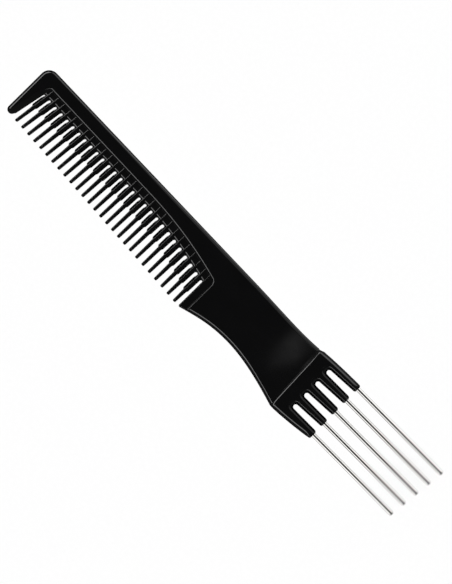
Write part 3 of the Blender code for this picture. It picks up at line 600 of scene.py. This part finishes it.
def add_node(tree, kind, inputs=(), **settings):
    """Adds a node, sets its properties, and links or sets its inputs by place or by name. A node
    given as an input stands for its first output."""
    node = tree.nodes.new(kind)
    for name, value in settings.items():
        setattr(node, name, value)
    for key, value in (inputs.items() if isinstance(inputs, dict) else enumerate(inputs)):
        if isinstance(value, bpy.types.Node):
            value = value.outputs[0]
        if isinstance(value, bpy.types.NodeSocket):
            tree.links.new(value, node.inputs[key])
        elif value is not None:
            node.inputs[key].default_value = value
    return node


def lug_end_y(x):
    return root_y(x) - LUG_LENGTH - droop(x, LUG_DROOP)


def tooth_stations():
    """Along a tooth: the line it is tied to, its place past it, its left and right half widths,
    the wings' share, the drop of its sides and the drop of its face."""
    fine_top, fine_tip = FINE_TOP_WIDTH / 2, FINE_TIP_WIDTH / 2
    half = LUG_WIDTH / 2
    left = half + LUG_EXTRA_LEFT
    right = half + LUG_SHIFT + 0.03
    notched = half - LUG_NOTCH
    middle_left = 0.55 * left + 0.45 * fine_top
    middle_right = 0.55 * half + 0.45 * fine_top
    middle_drop = 0.5 * (SHELF_DROP + FINE_DROP)
    chamfer_at = TIP_CHAMFER - TIP_PAST_LINE
    stations = [
        (LEDGE_LINE, -0.3, notched - 0.05, right - 0.1, 1.0, SHELF_DROP + 0.02, 0.2),
        (LEDGE_LINE, -0.6, notched - 0.05, right - 0.1, 1.0, SHELF_DROP + 0.02, 0.0),
        (ROOT_LINE, 0.1, notched, right - 0.05, 1.0, SHELF_DROP + 0.02, 0.0),
        (ROOT_LINE, -0.6, notched + 0.03, right, 1.0, SHELF_DROP + 0.02, 0.0),
        (ROOT_LINE, -1.0, notched + 0.12, right, 1.0, SHELF_DROP + 0.01, 0.0),
        (ROOT_LINE, -1.4, left - 0.03, right - 0.01, 1.0, SHELF_DROP, 0.0),
        (ROOT_LINE, -1.8, left, right - 0.02, 1.0, SHELF_DROP, 0.0),
        (LUG_END_LINE, 0.0, left - 0.03, half - 0.04, 1.0, SHELF_DROP, 0.0),
        (LUG_END_LINE, -0.5 * LUG_STEP, middle_left, middle_right, 0.5, middle_drop, 0.0),
        (LUG_END_LINE, -LUG_STEP, fine_top, fine_top, 0.0, FINE_DROP, 0.0),
        (TIP_LINE, chamfer_at + 0.03, fine_tip + 0.02, fine_tip + 0.02, 0.0, FINE_DROP, 0.0),
        (TIP_LINE, chamfer_at - 0.03, fine_tip + 0.01, fine_tip + 0.01, 0.0, 0.9 * FINE_DROP, 0.02),
    ]
    for angle in TIP_ANGLES:
        turn = math.radians(angle)
        place = TOOTH_TIP_RADIUS * (1 - math.sin(turn))
        width = fine_tip - TOOTH_TIP_RADIUS * (1 - math.cos(turn))
        fall = TIP_CHAMFER_DEPTH * (1 - place / TIP_CHAMFER) + TIP_ROLL * (1 - math.cos(turn)) ** 2
        drop = FINE_DROP * TIP_SIDE_SHARE * math.cos(turn) + 0.02
        stations.append((TIP_LINE, place - TIP_PAST_LINE, width, width, 0.0, drop, fall))
    return stations


def tooth_section(half, wing, drop):
    """One side of a section as places across and drops below the row's face. A narrow band
    along the rib's edge leans just enough to catch the softbox."""
    rib = half - RIB_FOOT + (RIB_HALF_WIDTH - half + RIB_FOOT) * wing
    line_end = max(0.5 * rib, rib - RIB_LINE)
    line_start = max(0.2 * rib, line_end - RIB_LINE_WIDTH)
    return [
        (half - DRAFT, drop + WING_ROUND),
        (half - DRAFT - 0.3 * WING_ROUND, drop + 0.35 * WING_ROUND),
        (max(half - DRAFT - WING_ROUND, rib), drop),
        (rib - RIB_FOOT, drop),
        (line_end, 0.1 * drop + RIB_LINE_SLOPE * (line_end - line_start)),
        (line_end - 0.02, RIB_LINE_SLOPE * (line_end - line_start - 0.02)),
        (line_start, 0.0),
        (0.5 * line_start, 0.0),
    ]


def tooth_pattern():
    """One tooth before it is fitted: x across, y past its line, and the rest as attributes."""
    bm = bmesh.new()
    line_layer = bm.verts.layers.int.new("line")
    side_layer = bm.verts.layers.float.new("side")
    drop_layer = bm.verts.layers.float.new("drop")
    rings = []
    for line, place, left_half, right_half, wing, drop, fall in tooth_stations():
        left = [(-across, down + fall) for across, down in tooth_section(left_half, wing, drop)]
        right = [(across, down + fall) for across, down in tooth_section(right_half, wing, drop)]
        walk = [(right_half, 0.0, 0)]
        walk += [(across, down, 1) for across, down in right + left[::-1]]
        walk += [(-left_half, 0.0, 0)]
        walk += [(across, down, -1) for across, down in left + right[::-1]]
        ring = []
        for across, down, side in walk:
            vertex = bm.verts.new((across, place, side))
            vertex[line_layer] = line
            vertex[side_layer] = side
            vertex[drop_layer] = down
            ring.append(vertex)
        rings.append(ring)
    bm.faces.new(reversed(rings[0]))
    bm.faces.new(rings[-1])
    bridge(bm, rings)
    return drawn("tooth_pattern", bm)


def tooth_places():
    """A point for each tooth, which carries its lean and the lines that it meets."""
    mesh = bpy.data.meshes.new("tooth_places")
    mesh.from_pydata([(tooth_x(index), 0.0, 0.0) for index in range(TOOTH_COUNT)], [], [])
    rules = {"lean": tooth_lean}
    for name, line in zip(LINE_NAMES, (ledge_y, root_y, lug_end_y, tip_y)):
        rules[name] = lambda index, line=line: line(tooth_x(index))
    for name, rule in rules.items():
        values = [rule(index) for index in range(TOOTH_COUNT)]
        mesh.attributes.new(name, "FLOAT", "POINT").data.foreach_set("value", values)
    return placed("tooth_places", mesh)


def tooth_row_tree():
    """Sets a tooth on each point, then leans it, fits its length and thins it towards its tip."""
    tree = bpy.data.node_groups.new("tooth_row", "GeometryNodeTree")
    face = tree.interface
    face.new_socket("Geometry", in_out="INPUT", socket_type="NodeSocketGeometry")
    face.new_socket("Tooth", in_out="INPUT", socket_type="NodeSocketObject")
    for name in ("Pitch line", "Face height", "Fall along the row", "Fall to the tips"):
        face.new_socket(name, in_out="INPUT", socket_type="NodeSocketFloat")
    face.new_socket("Material", in_out="INPUT", socket_type="NodeSocketMaterial")
    face.new_socket("Geometry", in_out="OUTPUT", socket_type="NodeSocketGeometry")
    given = add_node(tree, "NodeGroupInput").outputs
    stored = {}
    for name in LINE_NAMES + ("lean", "line", "side", "drop"):
        kind = "INT" if name == "line" else "FLOAT"
        node = add_node(tree, "GeometryNodeInputNamedAttribute", [name], data_type=kind)
        stored[name] = node.outputs["Attribute"]
    tooth = add_node(tree, "GeometryNodeObjectInfo", [given["Tooth"]])
    row = add_node(tree, "GeometryNodeInstanceOnPoints", {
        "Points": given["Geometry"], "Instance": tooth.outputs["Geometry"],
    })
    row = add_node(tree, "GeometryNodeRealizeInstances", [row])
    here = add_node(tree, "GeometryNodeInputPosition")
    here = add_node(tree, "ShaderNodeSeparateXYZ", [here]).outputs
    line = add_node(tree, "GeometryNodeIndexSwitch", data_type="FLOAT")
    while len(line.index_switch_items) < len(LINE_NAMES):
        line.index_switch_items.new()
    tree.links.new(stored["line"], line.inputs["Index"])
    for place, name in enumerate(LINE_NAMES):
        tree.links.new(stored[name], line.inputs[place + 1])
    y = add_node(tree, "ShaderNodeMath", [line, here["Y"]], operation="ADD")
    up = add_node(tree, "ShaderNodeMath", [given["Pitch line"], y], operation="SUBTRACT")
    slope = add_node(tree, "ShaderNodeMath", [stored["lean"]], operation="TANGENT")
    x = add_node(tree, "ShaderNodeMath", [up, slope, here["X"]], operation="MULTIPLY_ADD")
    z = add_node(tree, "ShaderNodeMath", [x, given["Fall along the row"], given["Face height"]],
                 operation="MULTIPLY_ADD")
    z = add_node(tree, "ShaderNodeMath", [y, given["Fall to the tips"], z], operation="MULTIPLY_ADD")
    z = add_node(tree, "ShaderNodeMath", [z, stored["drop"]], operation="SUBTRACT")
    z = add_node(tree, "ShaderNodeMath", [z, stored["side"]], operation="MULTIPLY")
    place = add_node(tree, "ShaderNodeCombineXYZ", [x, y, z])
    row = add_node(tree, "GeometryNodeSetPosition", {"Geometry": row, "Position": place})
    row = add_node(tree, "GeometryNodeSetMaterial", {"Geometry": row, "Material": given["Material"]})
    add_node(tree, "NodeGroupOutput", [row])
    return tree


def grown(thing, tree, values):
    """The plain mesh that a Geometry Nodes tree makes from an object and the named values."""
    modifier = thing.modifiers.new(tree.name, "NODES")
    modifier.node_group = tree
    for item in tree.interface.items_tree:
        if item.in_out == "INPUT" and item.name in values:
            modifier[item.identifier] = values[item.name]
    graph = bpy.context.evaluated_depsgraph_get()
    return bpy.data.meshes.new_from_object(thing.evaluated_get(graph))


def srgb(code):
    """A colour as Blender wants it, linear, from the hex value that a screen shows."""
    parts = [int(code[place:place + 2], 16) / 255 for place in (1, 3, 5)]
    return [c / 12.92 if c <= 0.04045 else ((c + 0.055) / 1.055) ** 2.4 for c in parts] + [1.0]


def new_material(name):
    """A material with its node tree and its shader."""
    material = bpy.data.materials.new(name)
    material.use_nodes = True
    return material, material.node_tree, material.node_tree.nodes["Principled BSDF"]


def glossy_black_moulding_plastic():
    """Black polystyrene from a polished mould: near black with crisp narrow highlights, a very
    slight unevenness of its gloss from the flow, and no grain."""
    material, tree, shader = new_material("glossy_black_moulding_plastic")
    shader.inputs["IOR"].default_value = 1.55
    place = add_node(tree, "ShaderNodeTexCoord").outputs["Object"]
    flow = add_node(tree, "ShaderNodeMapping", {"Vector": place, "Scale": (1.0, 2.2, 1.0)})
    cloud = add_node(tree, "ShaderNodeTexNoise", {
        "Vector": flow, "Scale": 1 / (9 * MM), "Detail": 3.0, "Roughness": 0.5,
    })
    gloss = add_node(tree, "ShaderNodeMapRange", {
        "Value": cloud, "From Min": 0.3, "From Max": 0.7, "To Min": 0.07, "To Max": 0.1,
    })
    colour = add_node(tree, "ShaderNodeMix", {
        "Factor": cloud, "A": srgb("#050505"), "B": srgb("#070708"),
    }, data_type="RGBA")
    tree.links.new(gloss.outputs[0], shader.inputs["Roughness"])
    tree.links.new(colour.outputs["Result"], shader.inputs["Base Color"])
    ripple = add_node(tree, "ShaderNodeTexNoise", {
        "Vector": place, "Scale": 1 / (3.5 * MM), "Detail": 1.0,
    })
    bump = add_node(tree, "ShaderNodeBump", {"Height": ripple, "Strength": 0.04, "Distance": 0.05 * MM})
    tree.links.new(bump.outputs[0], shader.inputs["Normal"])
    return material


plastic = glossy_black_moulding_plastic()
pattern = tooth_pattern()
places = tooth_places()
row_fall = (FACE - LEDGE_STEP - TIP_HALF_THICKNESS) / (TIP_LINE_DEPTH - LEDGE_DEPTH)
teeth = placed("teeth", grown(places, tooth_row_tree(), {
    "Tooth": pattern,
    "Pitch line": PITCH_LINE,
    "Face height": TIP_HALF_THICKNESS + row_fall * TIP_LINE_DEPTH,
    "Fall along the row": row_fall * TIP_LINE_SLOPE,
    "Fall to the tips": row_fall,
    "Material": plastic,
}))
bpy.data.objects.remove(pattern)
bpy.data.objects.remove(places)

# Fork: the thicker end of the moulding that holds the pins. Its face stands proud of the handle
# behind a ridge, and four slots with bevelled edges part its five fingers.

PIN_COUNT = 5
PIN_BOXES = [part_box("lift_pin_%d" % (index + 1)) for index in range(PIN_COUNT)]
PIN_Y = [(DRAWING_TO_FRAME.inverted() @ ((low + high) / 2)).y for low, high in PIN_BOXES]
FORK_LENGTH = 18.2
FORK_END = RIDGE_X + FORK_LENGTH
FORK_END_SLOPE = 0.4
FINGER_ABOVE_PIN = 1.45
FINGER_BELOW_PIN = 1.9
FORK_TOP = PIN_Y[0] + FINGER_ABOVE_PIN
FORK_BOTTOM = PIN_Y[-1] - FINGER_BELOW_PIN
FORK_SIDE_STEPS = 14
FORK_CORNER_STEPS = 8
FORK_RIDGE_STEPS = 8
FORK_TOP_RIM = rim(((0, 0), (0.08, 14), (0.3, 18), (0.66, 22), (0.8, 33), (1.0, 38), (1.4, 40)))
FORK_BOTTOM_RIM = rim(((0, 0), (0.06, 12), (0.3, 16), (0.48, 20), (0.7, 33), (1.0, 38), (1.42, 40)))
FORK_END_RIM = rim(((0, 0), (0.06, 12), (0.12, 20), (0.2, 28), (0.28, 36), (0.38, 44), (0.5, 50)))
FINGER_CORNER = 0.7
FORK_FACE = FORK_THICKNESS / 2
FORK_FACE_CORNER = 1.0
RIDGE_RIM = rim(((0, 0), (0.06, 12), (0.2, 16), (0.34, 22), (0.46, 36), (0.55, 55), (0.7, 68)))
RIDGE_BEFORE = 0.45


def finger_end_x(y):
    """Where a finger ends at y, because the fork's end leans a little."""
    share = (y - PIN_Y[0]) / (PIN_Y[-1] - PIN_Y[0])
    return FORK_END + FORK_END_SLOPE * (share - 0.5)


def spread(points, count):
    """Evenly spaced points along a bent line."""
    lengths = [0.0]
    for start, end in zip(points, points[1:]):
        lengths.append(lengths[-1] + math.dist(start, end))
    found = []
    for step in range(count):
        reach = lengths[-1] * step / (count - 1)
        piece = max(i for i in range(len(points) - 1) if lengths[i] <= reach)
        share = (reach - lengths[piece]) / (lengths[piece + 1] - lengths[piece])
        found.append(blend(points[piece], points[piece + 1], min(1.0, share)))
    return found


def fork_corner(bend, centre, start_degrees, rims):
    """A corner whose outer edge is sharp and whose face is rounded in plan. Its edge turns from
    the first rim into the second."""
    steps = FORK_CORNER_STEPS
    face = arc(centre, FORK_FACE_CORNER, start_degrees, start_degrees - 90, steps)
    profiles = [mixed(rims[0], rims[1], step / steps)[1] for step in range(steps + 1)]
    return list(zip(spread(bend, steps + 1), face, profiles))


def fork_side_rim(x, y):
    """The rim of the fork's long sides, which narrows round the fingers' corners."""
    side = FORK_TOP_RIM if y > PIN_Y[2] else FORK_BOTTOM_RIM
    share = min(1.0, max(0.0, (FORK_END - x) / (3 * FINGER_CORNER)))
    return mixed(FORK_END_RIM, side, share)


def fork_levels():
    """The fork's outline along its top, round its end, back below and up the ridge."""
    radius = FINGER_CORNER
    top_end = finger_end_x(PIN_Y[0])
    bottom_end = finger_end_x(PIN_Y[-1])
    top_left = (ridge_x(0.0) - 0.7 * RIDGE_WIDTH, FORK_TOP_ROOT - 1.4 * FORK_STANDS_PROUD)
    top_start = (ridge_x(0.0) + 2.2, FORK_TOP_ROOT + 0.04)
    bottom_start = (ridge_x(FORK_BOTTOM_ROOT) + 2.4, FORK_BOTTOM_ROOT + 0.05)
    top = bezier(
        top_start,
        (RIDGE_X + 6.1, FORK_TOP_ROOT + 0.42),
        (FORK_END - 4.8, FORK_TOP),
        (top_end - radius, FORK_TOP),
        FORK_SIDE_STEPS,
    )
    top_corner = arc((top_end - radius, FORK_TOP - radius), radius, 90, 0, 8)[1:]
    bottom_corner = arc((bottom_end - radius, FORK_BOTTOM + radius), radius, 0, -80, 8)
    bottom = bezier(
        (bottom_end - radius, FORK_BOTTOM - 0.05 * radius),
        (FORK_END - 6.0, FORK_BOTTOM - 0.93),
        (RIDGE_X + 6.1, FORK_BOTTOM_ROOT + 0.17),
        bottom_start,
        FORK_SIDE_STEPS,
    )[1:]
    run = top + top_corner + bottom_corner + bottom
    end_start = len(top) + len(top_corner) // 2
    end_stop = len(top) + len(top_corner) + len(bottom_corner) // 2
    rims = [fork_side_rim(x, y) for x, y in run]
    rims[end_start:end_stop] = [FORK_END_RIM] * (end_stop - end_start)
    widths = [0.0] + [edge[0] for edge in rims] + [0.0]
    closed = inset([bottom_start] + run + [top_start], widths)[1:-1]
    closed[0] = (run[0][0], run[0][1] - FORK_TOP_RIM[0])
    closed[-1] = (run[-1][0], run[-1][1] + FORK_BOTTOM_RIM[0])
    pairs = [(outer, face, edge[1]) for outer, face, edge in zip(run, closed, rims)]
    face_edge = RIDGE_RIM[0] - RIDGE_BEFORE
    low_corner = (
        ridge_x(FORK_BOTTOM_ROOT) + face_edge + FORK_FACE_CORNER,
        FORK_BOTTOM_ROOT + FORK_BOTTOM_RIM[0] + FORK_FACE_CORNER,
    )
    high_corner = (
        ridge_x(0.0) + face_edge + FORK_FACE_CORNER,
        FORK_TOP_ROOT - FORK_TOP_RIM[0] - FORK_FACE_CORNER,
    )
    left_low = (ridge_x(low_corner[1]) - RIDGE_BEFORE, low_corner[1])
    left_high = (ridge_x(high_corner[1]) - RIDGE_BEFORE, high_corner[1])
    bend = [(low_corner[0] + 0.1, FORK_BOTTOM_ROOT), HANDLE_LOW_END, left_low]
    pairs += fork_corner(bend, low_corner, 270, (FORK_BOTTOM_RIM, RIDGE_RIM))
    for step in range(1, FORK_RIDGE_STEPS):
        y = low_corner[1] + (high_corner[1] - low_corner[1]) * step / FORK_RIDGE_STEPS
        x = ridge_x(y) - RIDGE_BEFORE
        pairs.append(((x, y), (x + RIDGE_RIM[0], y), RIDGE_RIM[1]))
    bend = [left_high, top_left, (high_corner[0], FORK_TOP_ROOT)]
    pairs += fork_corner(bend, high_corner, 180, (RIDGE_RIM, FORK_TOP_RIM))
    return [edge_levels(*pair, lambda x, y: FORK_FACE) for pair in pairs]


fork = drawn("fork", moulded(fork_levels()))

# Thumb rest: a shallow dish moulded into both faces of the handle. It deepens towards the fork and
# ends at the ridge, which stops the thumb.

REST_TOP_Y, REST_BOTTOM_Y = 1.0, FORK_BOTTOM_ROOT - 2.0
REST_STEPS = 28
REST_ROWS = 24
REST_START_LIFT = 0.006
REST_UNDER_FORK = 2.0
CUT = 3.0


def rest_section(y):
    """Section along the cutter of one thumb rest, from its start to under the fork."""
    foot = ridge_x(y) - REST_START
    start = foot - REST_LENGTH
    points = [(start - CUT, y, FACE + CUT), (start - CUT, y, FACE + 10 * SKIN)]
    for step in range(REST_STEPS + 1):
        share = step / REST_STEPS
        x = start + share * REST_LENGTH
        points.append((x, y, FACE + REST_START_LIFT * (1 - share) - rest_depth(x, y)))
    points.append((foot + REST_UNDER_FORK, y, points[-1][2]))
    points.append((foot + REST_UNDER_FORK, y, FACE + CUT))
    return points


def flipped(sections):
    """The same sections on the comb's other side."""
    return [[(x, y, -z) for x, y, z in section] for section in sections]


def thumb_rest_cutters():
    run = REST_BOTTOM_Y - REST_TOP_Y
    upper = [rest_section(REST_TOP_Y + run * row / REST_ROWS) for row in range(REST_ROWS + 1)]
    return [drawn("thumb_rest_upper", loft(upper)), drawn("thumb_rest_lower", loft(flipped(upper)))]


# Slots: the four gaps between the fork's fingers, moulded with it. Their sections widen towards
# the faces, most at the closed ends, so that each finger has a low crown, and flare at the mouths.

SLOT_MOUTH_WIDTH = 2.4
SLOT_ROOT_WIDTH = 1.8
SLOT_LENGTH = 12.1
SLOT_BEVEL = 0.8
SLOT_END_BEVEL = 1.15
SLOT_FLARE = ((-0.35, 1.0), (0.0, 0.62), (0.35, 0.3), (0.7, 0.08), (1.2, 0.0))
SLOT_END_STEPS = 16
CROWN = rim((
    (0.15, 0), (0.35, 5), (0.55, 10), (0.66, 14), (0.72, 30), (0.9, 48), (1.2, 58), (1.57, 70),
))


def slot_section(slot, share, height):
    """Section through a slot at a height, widened by a share of its bevel."""
    middle = (PIN_Y[slot] + PIN_Y[slot + 1]) / 2
    mouth_x = finger_end_x(middle)
    side = SLOT_BEVEL * share
    end_run = SLOT_END_BEVEL * share
    radius = FINGER_CORNER
    low = middle - SLOT_MOUTH_WIDTH / 2 - side
    high_root = middle - SLOT_MOUTH_WIDTH / 2 + SLOT_ROOT_WIDTH + side
    high_mouth = middle + SLOT_MOUTH_WIDTH / 2 + side
    end_radius = (high_root - low) / 2
    end_centre = (mouth_x - SLOT_LENGTH + SLOT_ROOT_WIDTH / 2 + side - end_run, (low + high_root) / 2)
    flare = 1.05 * radius - 0.7 * side
    outline = [(mouth_x + CUT, high_mouth + flare)]
    for back, opening in SLOT_FLARE:
        outline.append((mouth_x - back * radius, high_mouth + opening * flare))
    outline += arc(end_centre, end_radius, 90, 270, SLOT_END_STEPS)
    for back, opening in reversed(SLOT_FLARE):
        outline.append((mouth_x - back * radius, low - opening * flare))
    outline.append((mouth_x + CUT, low - flare))
    return [(x, y, height) for x, y in outline]


def slot_cutter(slot):
    """Cuts a slot and half of the low crown of the fingers on each side of it."""
    width, levels = CROWN
    upper = [slot_section(slot, share * width / SLOT_BEVEL, FORK_FACE - drop) for share, drop in levels]
    upper[-1] = slot_section(slot, levels[-1][0] * width / SLOT_BEVEL, FORK_FACE + SKIN)
    return drawn("slot_cutter_%d" % slot, loft(flipped(reversed(upper)) + upper))


def join_boolean(body, other, operation):
    boolean = body.modifiers.new(other.name, "BOOLEAN")
    boolean.operation = operation
    boolean.solver = "EXACT"
    boolean.object = other
    other.hide_render = True


# The thumb rests and the slots are cut, then the web, the shoulder, the teeth and the fork join the
# blade in one closed moulding.
rest_cutters = thumb_rest_cutters()
slot_cutters = [slot_cutter(slot) for slot in range(PIN_COUNT - 1)]
for cutter in rest_cutters:
    join_boolean(blade, cutter, "DIFFERENCE")
for cutter in slot_cutters:
    join_boolean(fork, cutter, "DIFFERENCE")
helpers = [web, shoulder, teeth, fork]
for piece in helpers:
    join_boolean(blade, piece, "UNION")
cutters = rest_cutters + slot_cutters

SHARP_EDGE = math.radians(28)

graph = bpy.context.evaluated_depsgraph_get()
whole = bpy.data.meshes.new_from_object(blade.evaluated_get(graph))
for piece in helpers + cutters:
    bpy.data.objects.remove(piece)
blade.modifiers.clear()
blade.data = whole
whole.transform(DRAWING_TO_FRAME)
whole.materials.clear()
whole.materials.append(plastic)
whole.polygons.foreach_set("material_index", [0] * len(whole.polygons))
whole.shade_smooth()
whole.set_sharp_from_angle(angle=SHARP_EDGE)
even = blade.modifiers.new("flat_faces_stay_flat", "WEIGHTED_NORMAL")
even.keep_sharp = True
even.weight = 100
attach(blade, "root")
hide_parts("comb_body")

# Pins: five straight lengths of drawn and polished steel wire with domed tips, moulded into the
# fingers. Most of what the plastic hides is left out.

PIN_SIDES = 32
PIN_LEFT_OUT = 12 * MM
PIN_DOME = 0.62
PIN_TIP_FLAT = 0.12
PIN_DOME_ANGLES = (0, 15, 30, 45, 60, 75)
PIN_SHARP_EDGE = math.radians(40)


def pin_mesh(index):
    low, high = PIN_BOXES[index]
    radius = (high.z - low.z) / 2
    middle = (low + high) / 2
    dome = PIN_DOME * radius
    profile = [(radius, low.x + PIN_LEFT_OUT)]
    for angle in PIN_DOME_ANGLES:
        turn = math.radians(angle)
        share = PIN_TIP_FLAT + (1 - PIN_TIP_FLAT) * math.cos(turn)
        profile.append((radius * share, high.x - dome + dome * math.sin(turn)))
    bm = bmesh.new()
    rings = []
    for reach, x in profile:
        ring = []
        for side in range(PIN_SIDES):
            angle = 2 * math.pi * side / PIN_SIDES
            y = middle.y + reach * math.cos(angle)
            z = middle.z + reach * math.sin(angle)
            ring.append(bm.verts.new((x, y, z)))
        rings.append(ring)
    bm.faces.new(rings[0])
    tip = bm.verts.new((high.x, middle.y, middle.z))
    bridge(bm, rings)
    for here in range(PIN_SIDES):
        bm.faces.new((rings[-1][here], rings[-1][(here + 1) % PIN_SIDES], tip))
    bmesh.ops.recalc_face_normals(bm, faces=bm.faces)
    return bm


def drawn_steel_wire():
    """Polished carbon steel wire: bright, slightly warm, with fine marks along its length from the
    drawing die, which spread its highlights a little round the wire."""
    material, tree, shader = new_material("drawn_steel_wire")
    shader.inputs["Metallic"].default_value = 1.0
    shader.inputs["Base Color"].default_value = srgb("#e4e3e0")
    place = add_node(tree, "ShaderNodeTexCoord").outputs["Object"]
    marks = add_node(tree, "ShaderNodeMapping", {"Vector": place, "Scale": (0.02, 1.0, 1.0)})
    streak = add_node(tree, "ShaderNodeTexNoise", {
        "Vector": marks, "Scale": 1 / (0.25 * MM), "Detail": 2.0,
    })
    gloss = add_node(tree, "ShaderNodeMapRange", {
        "Value": streak, "From Min": 0.3, "From Max": 0.7, "To Min": 0.05, "To Max": 0.08,
    })
    tree.links.new(gloss.outputs[0], shader.inputs["Roughness"])
    bump = add_node(tree, "ShaderNodeBump", {"Height": streak, "Strength": 0.05, "Distance": 0.01 * MM})
    tree.links.new(bump.outputs[0], shader.inputs["Normal"])
    return material


steel = drawn_steel_wire()
pins = []
for index in range(PIN_COUNT):
    pin = drawn("steel_pin_%d" % (index + 1), pin_mesh(index))
    pin.data.materials.append(steel)
    pin.data.shade_smooth()
    pin.data.set_sharp_from_angle(angle=PIN_SHARP_EDGE)
    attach(pin, "root")
    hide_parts("lift_pin_%d" % (index + 1))
    pins.append(pin)

# Floor: a sheet of heavy white paper that the comb lies on, seen with no shadow, as in a picture
# cut out on white. It isn't mirrored in the comb and holds back no light.

FLOOR_SIZE = 3.0


def matt_white_paper():
    """Heavy uncoated paper: matt white, a very faint mottle from its fibres."""
    material, tree, shader = new_material("matt_white_paper")
    shader.inputs["Roughness"].default_value = 0.9
    shader.inputs["Specular IOR Level"].default_value = 0.2
    place = add_node(tree, "ShaderNodeTexCoord").outputs["Object"]
    fibre = add_node(tree, "ShaderNodeTexNoise", {"Vector": place, "Scale": 1 / (1.5 * MM)})
    colour = add_node(tree, "ShaderNodeMix", {
        "Factor": fibre, "A": srgb("#f5f5f5"), "B": srgb("#f8f8f8"),
    }, data_type="RGBA")
    tree.links.new(colour.outputs["Result"], shader.inputs["Base Color"])
    return material


bm = bmesh.new()
bmesh.ops.create_grid(bm, x_segments=1, y_segments=1, size=FLOOR_SIZE / 2)
floor = drawn("floor", bm)
floor.data.materials.append(matt_white_paper())
floor.visible_glossy = False
floor.visible_shadow = False

# Camera: straight above the comb, so far away that nothing shows in perspective, and turned so
# that the comb lies across the picture from corner to corner.

PHOTO_WIDTH, PHOTO_HEIGHT = 452, 584
VIEW_HEIGHT = 0.20325
ROLL = math.radians(45.32)
# The pixel of the picture that the model's origin falls on
ORIGIN_AT = (219.3, 296.0)
LENS = 400
SENSOR = 36

right = Vector((math.cos(ROLL), math.sin(ROLL), 0.0))
upward = Vector((-math.sin(ROLL), math.cos(ROLL), 0.0))
pixel = VIEW_HEIGHT / PHOTO_HEIGHT
centre = right * (PHOTO_WIDTH / 2 - ORIGIN_AT[0]) * pixel
centre += upward * (ORIGIN_AT[1] - PHOTO_HEIGHT / 2) * pixel
camera = placed("camera", bpy.data.cameras.new("camera"))
camera.data.lens = LENS
camera.data.sensor_width = SENSOR
distance = VIEW_HEIGHT / (SENSOR / LENS)
camera.matrix_world = Matrix((
    (right.x, upward.x, 0, centre.x),
    (right.y, upward.y, 0, centre.y),
    (0, 0, 1, distance + FORK_THICKNESS * MM),
    (0, 0, 0, 1),
))
camera.data.clip_end = 20
bpy.context.scene.camera = camera

# Light: white panels stand over the table, bright ones to the picture's left and right, and three
# small lamps high at the lower right make the thumb rest glow. The pins mirror two cards and the
# light paper. A broad light that casts no shadow keeps the paper white.


def soft_light(pieces, name, azimuth, from_vertical, distance, size, radiance):
    """A panel that faces the comb and shines on some pieces alone, as a card set close beside
    them does. It is placed by its direction in the picture, 0 to the right and 90 up, and by its
    angle from straight above."""
    light = bpy.data.lights.new(name, "AREA")
    light.shape = "RECTANGLE"
    light.size, light.size_y = size
    light.energy = radiance * math.pi * size[0] * size[1]
    turn = math.radians(azimuth)
    lean = math.radians(from_vertical)
    flat = right * math.cos(turn) + upward * math.sin(turn)
    towards = flat * math.sin(lean) + Vector((0, 0, 1)) * math.cos(lean)
    lamp = placed(name, light)
    lamp.location = towards * distance
    lamp.rotation_euler = towards.to_track_quat("Z", "Y").to_euler()
    lamp.visible_diffuse = False
    receivers = bpy.data.collections.new("seen_by_" + name)
    for piece in pieces:
        receivers.objects.link(piece)
    lamp.light_linking.receiver_collection = receivers


for panel in (
    ("right_panel", 45, 60, 1.5, (1.4, 1.6), 0.2),
    ("upper_right_softbox", 45, 38, 1.3, (0.9, 0.37), 1.5),
    ("upper_right_panel", 45, 18, 1.6, (0.9, 0.56), 0.4),
    ("left_softbox", 225, 30, 1.3, (1.2, 0.41), 3.1),
    ("upper_left_softbox", 135, 30, 1.3, (1.2, 0.41), 4.6),
    ("small_lamp", 320.4, 5.9, 2.0, (0.025, 0.07), 0.25),
    ("middle_lamp", 319.8, 5.9, 2.05, (0.05, 0.11), 0.13),
    ("wide_lamp", 317, 5.9, 2.1, (0.08, 0.15), 0.06),
):
    soft_light([blade], *panel)
for card in (
    ("left_card", 225, 73, 0.5, (0.6, 0.66), 1.25),
    ("right_card", 45, 79, 0.5, (0.6, 0.82), 1.18),
    ("paper_card", 45, 180, 0.2, (0.8, 0.8), 0.4),
):
    soft_light(pins, *card)
for pin in pins:
    pin.visible_diffuse = False
paper_light = bpy.data.lights.new("paper_light", "SUN")
paper_light.energy = 3.4
paper_light.use_shadow = False
placed("paper_light", paper_light).visible_glossy = False

# The dim room round the table, brighter towards its walls. It is seen in reflections alone.
ROOM_OVERHEAD = 0.035
ROOM_WALLS = 0.15
ROOM_FLOOR_SHARE = 0.1

world = bpy.data.worlds.new("dim_room")
world.use_nodes = True
tree = world.node_tree
direction = add_node(tree, "ShaderNodeTexCoord").outputs["Generated"]
height = add_node(tree, "ShaderNodeSeparateXYZ", [direction]).outputs["Z"]
brightness = add_node(tree, "ShaderNodeMapRange", {
    "Value": height, "From Min": 1.0, "From Max": 0.0,
    "To Min": ROOM_OVERHEAD, "To Max": ROOM_WALLS,
})
below = add_node(tree, "ShaderNodeMapRange", {
    "Value": height, "From Min": -0.3, "From Max": 0.0, "To Min": ROOM_FLOOR_SHARE, "To Max": 1.0,
})
bounced = add_node(tree, "ShaderNodeLightPath").outputs["Is Diffuse Ray"]
reflected = add_node(tree, "ShaderNodeMath", [1.0, bounced], operation="SUBTRACT")
for share in (below, reflected):
    brightness = add_node(tree, "ShaderNodeMath", [brightness, share], operation="MULTIPLY")
tree.links.new(brightness.outputs[0], tree.nodes["Background"].inputs["Strength"])
tree.nodes["Background"].inputs["Color"].default_value = (1.0, 1.0, 1.0, 1.0)
bpy.context.scene.world = world
bpy.context.scene.view_settings.view_transform = "Standard"
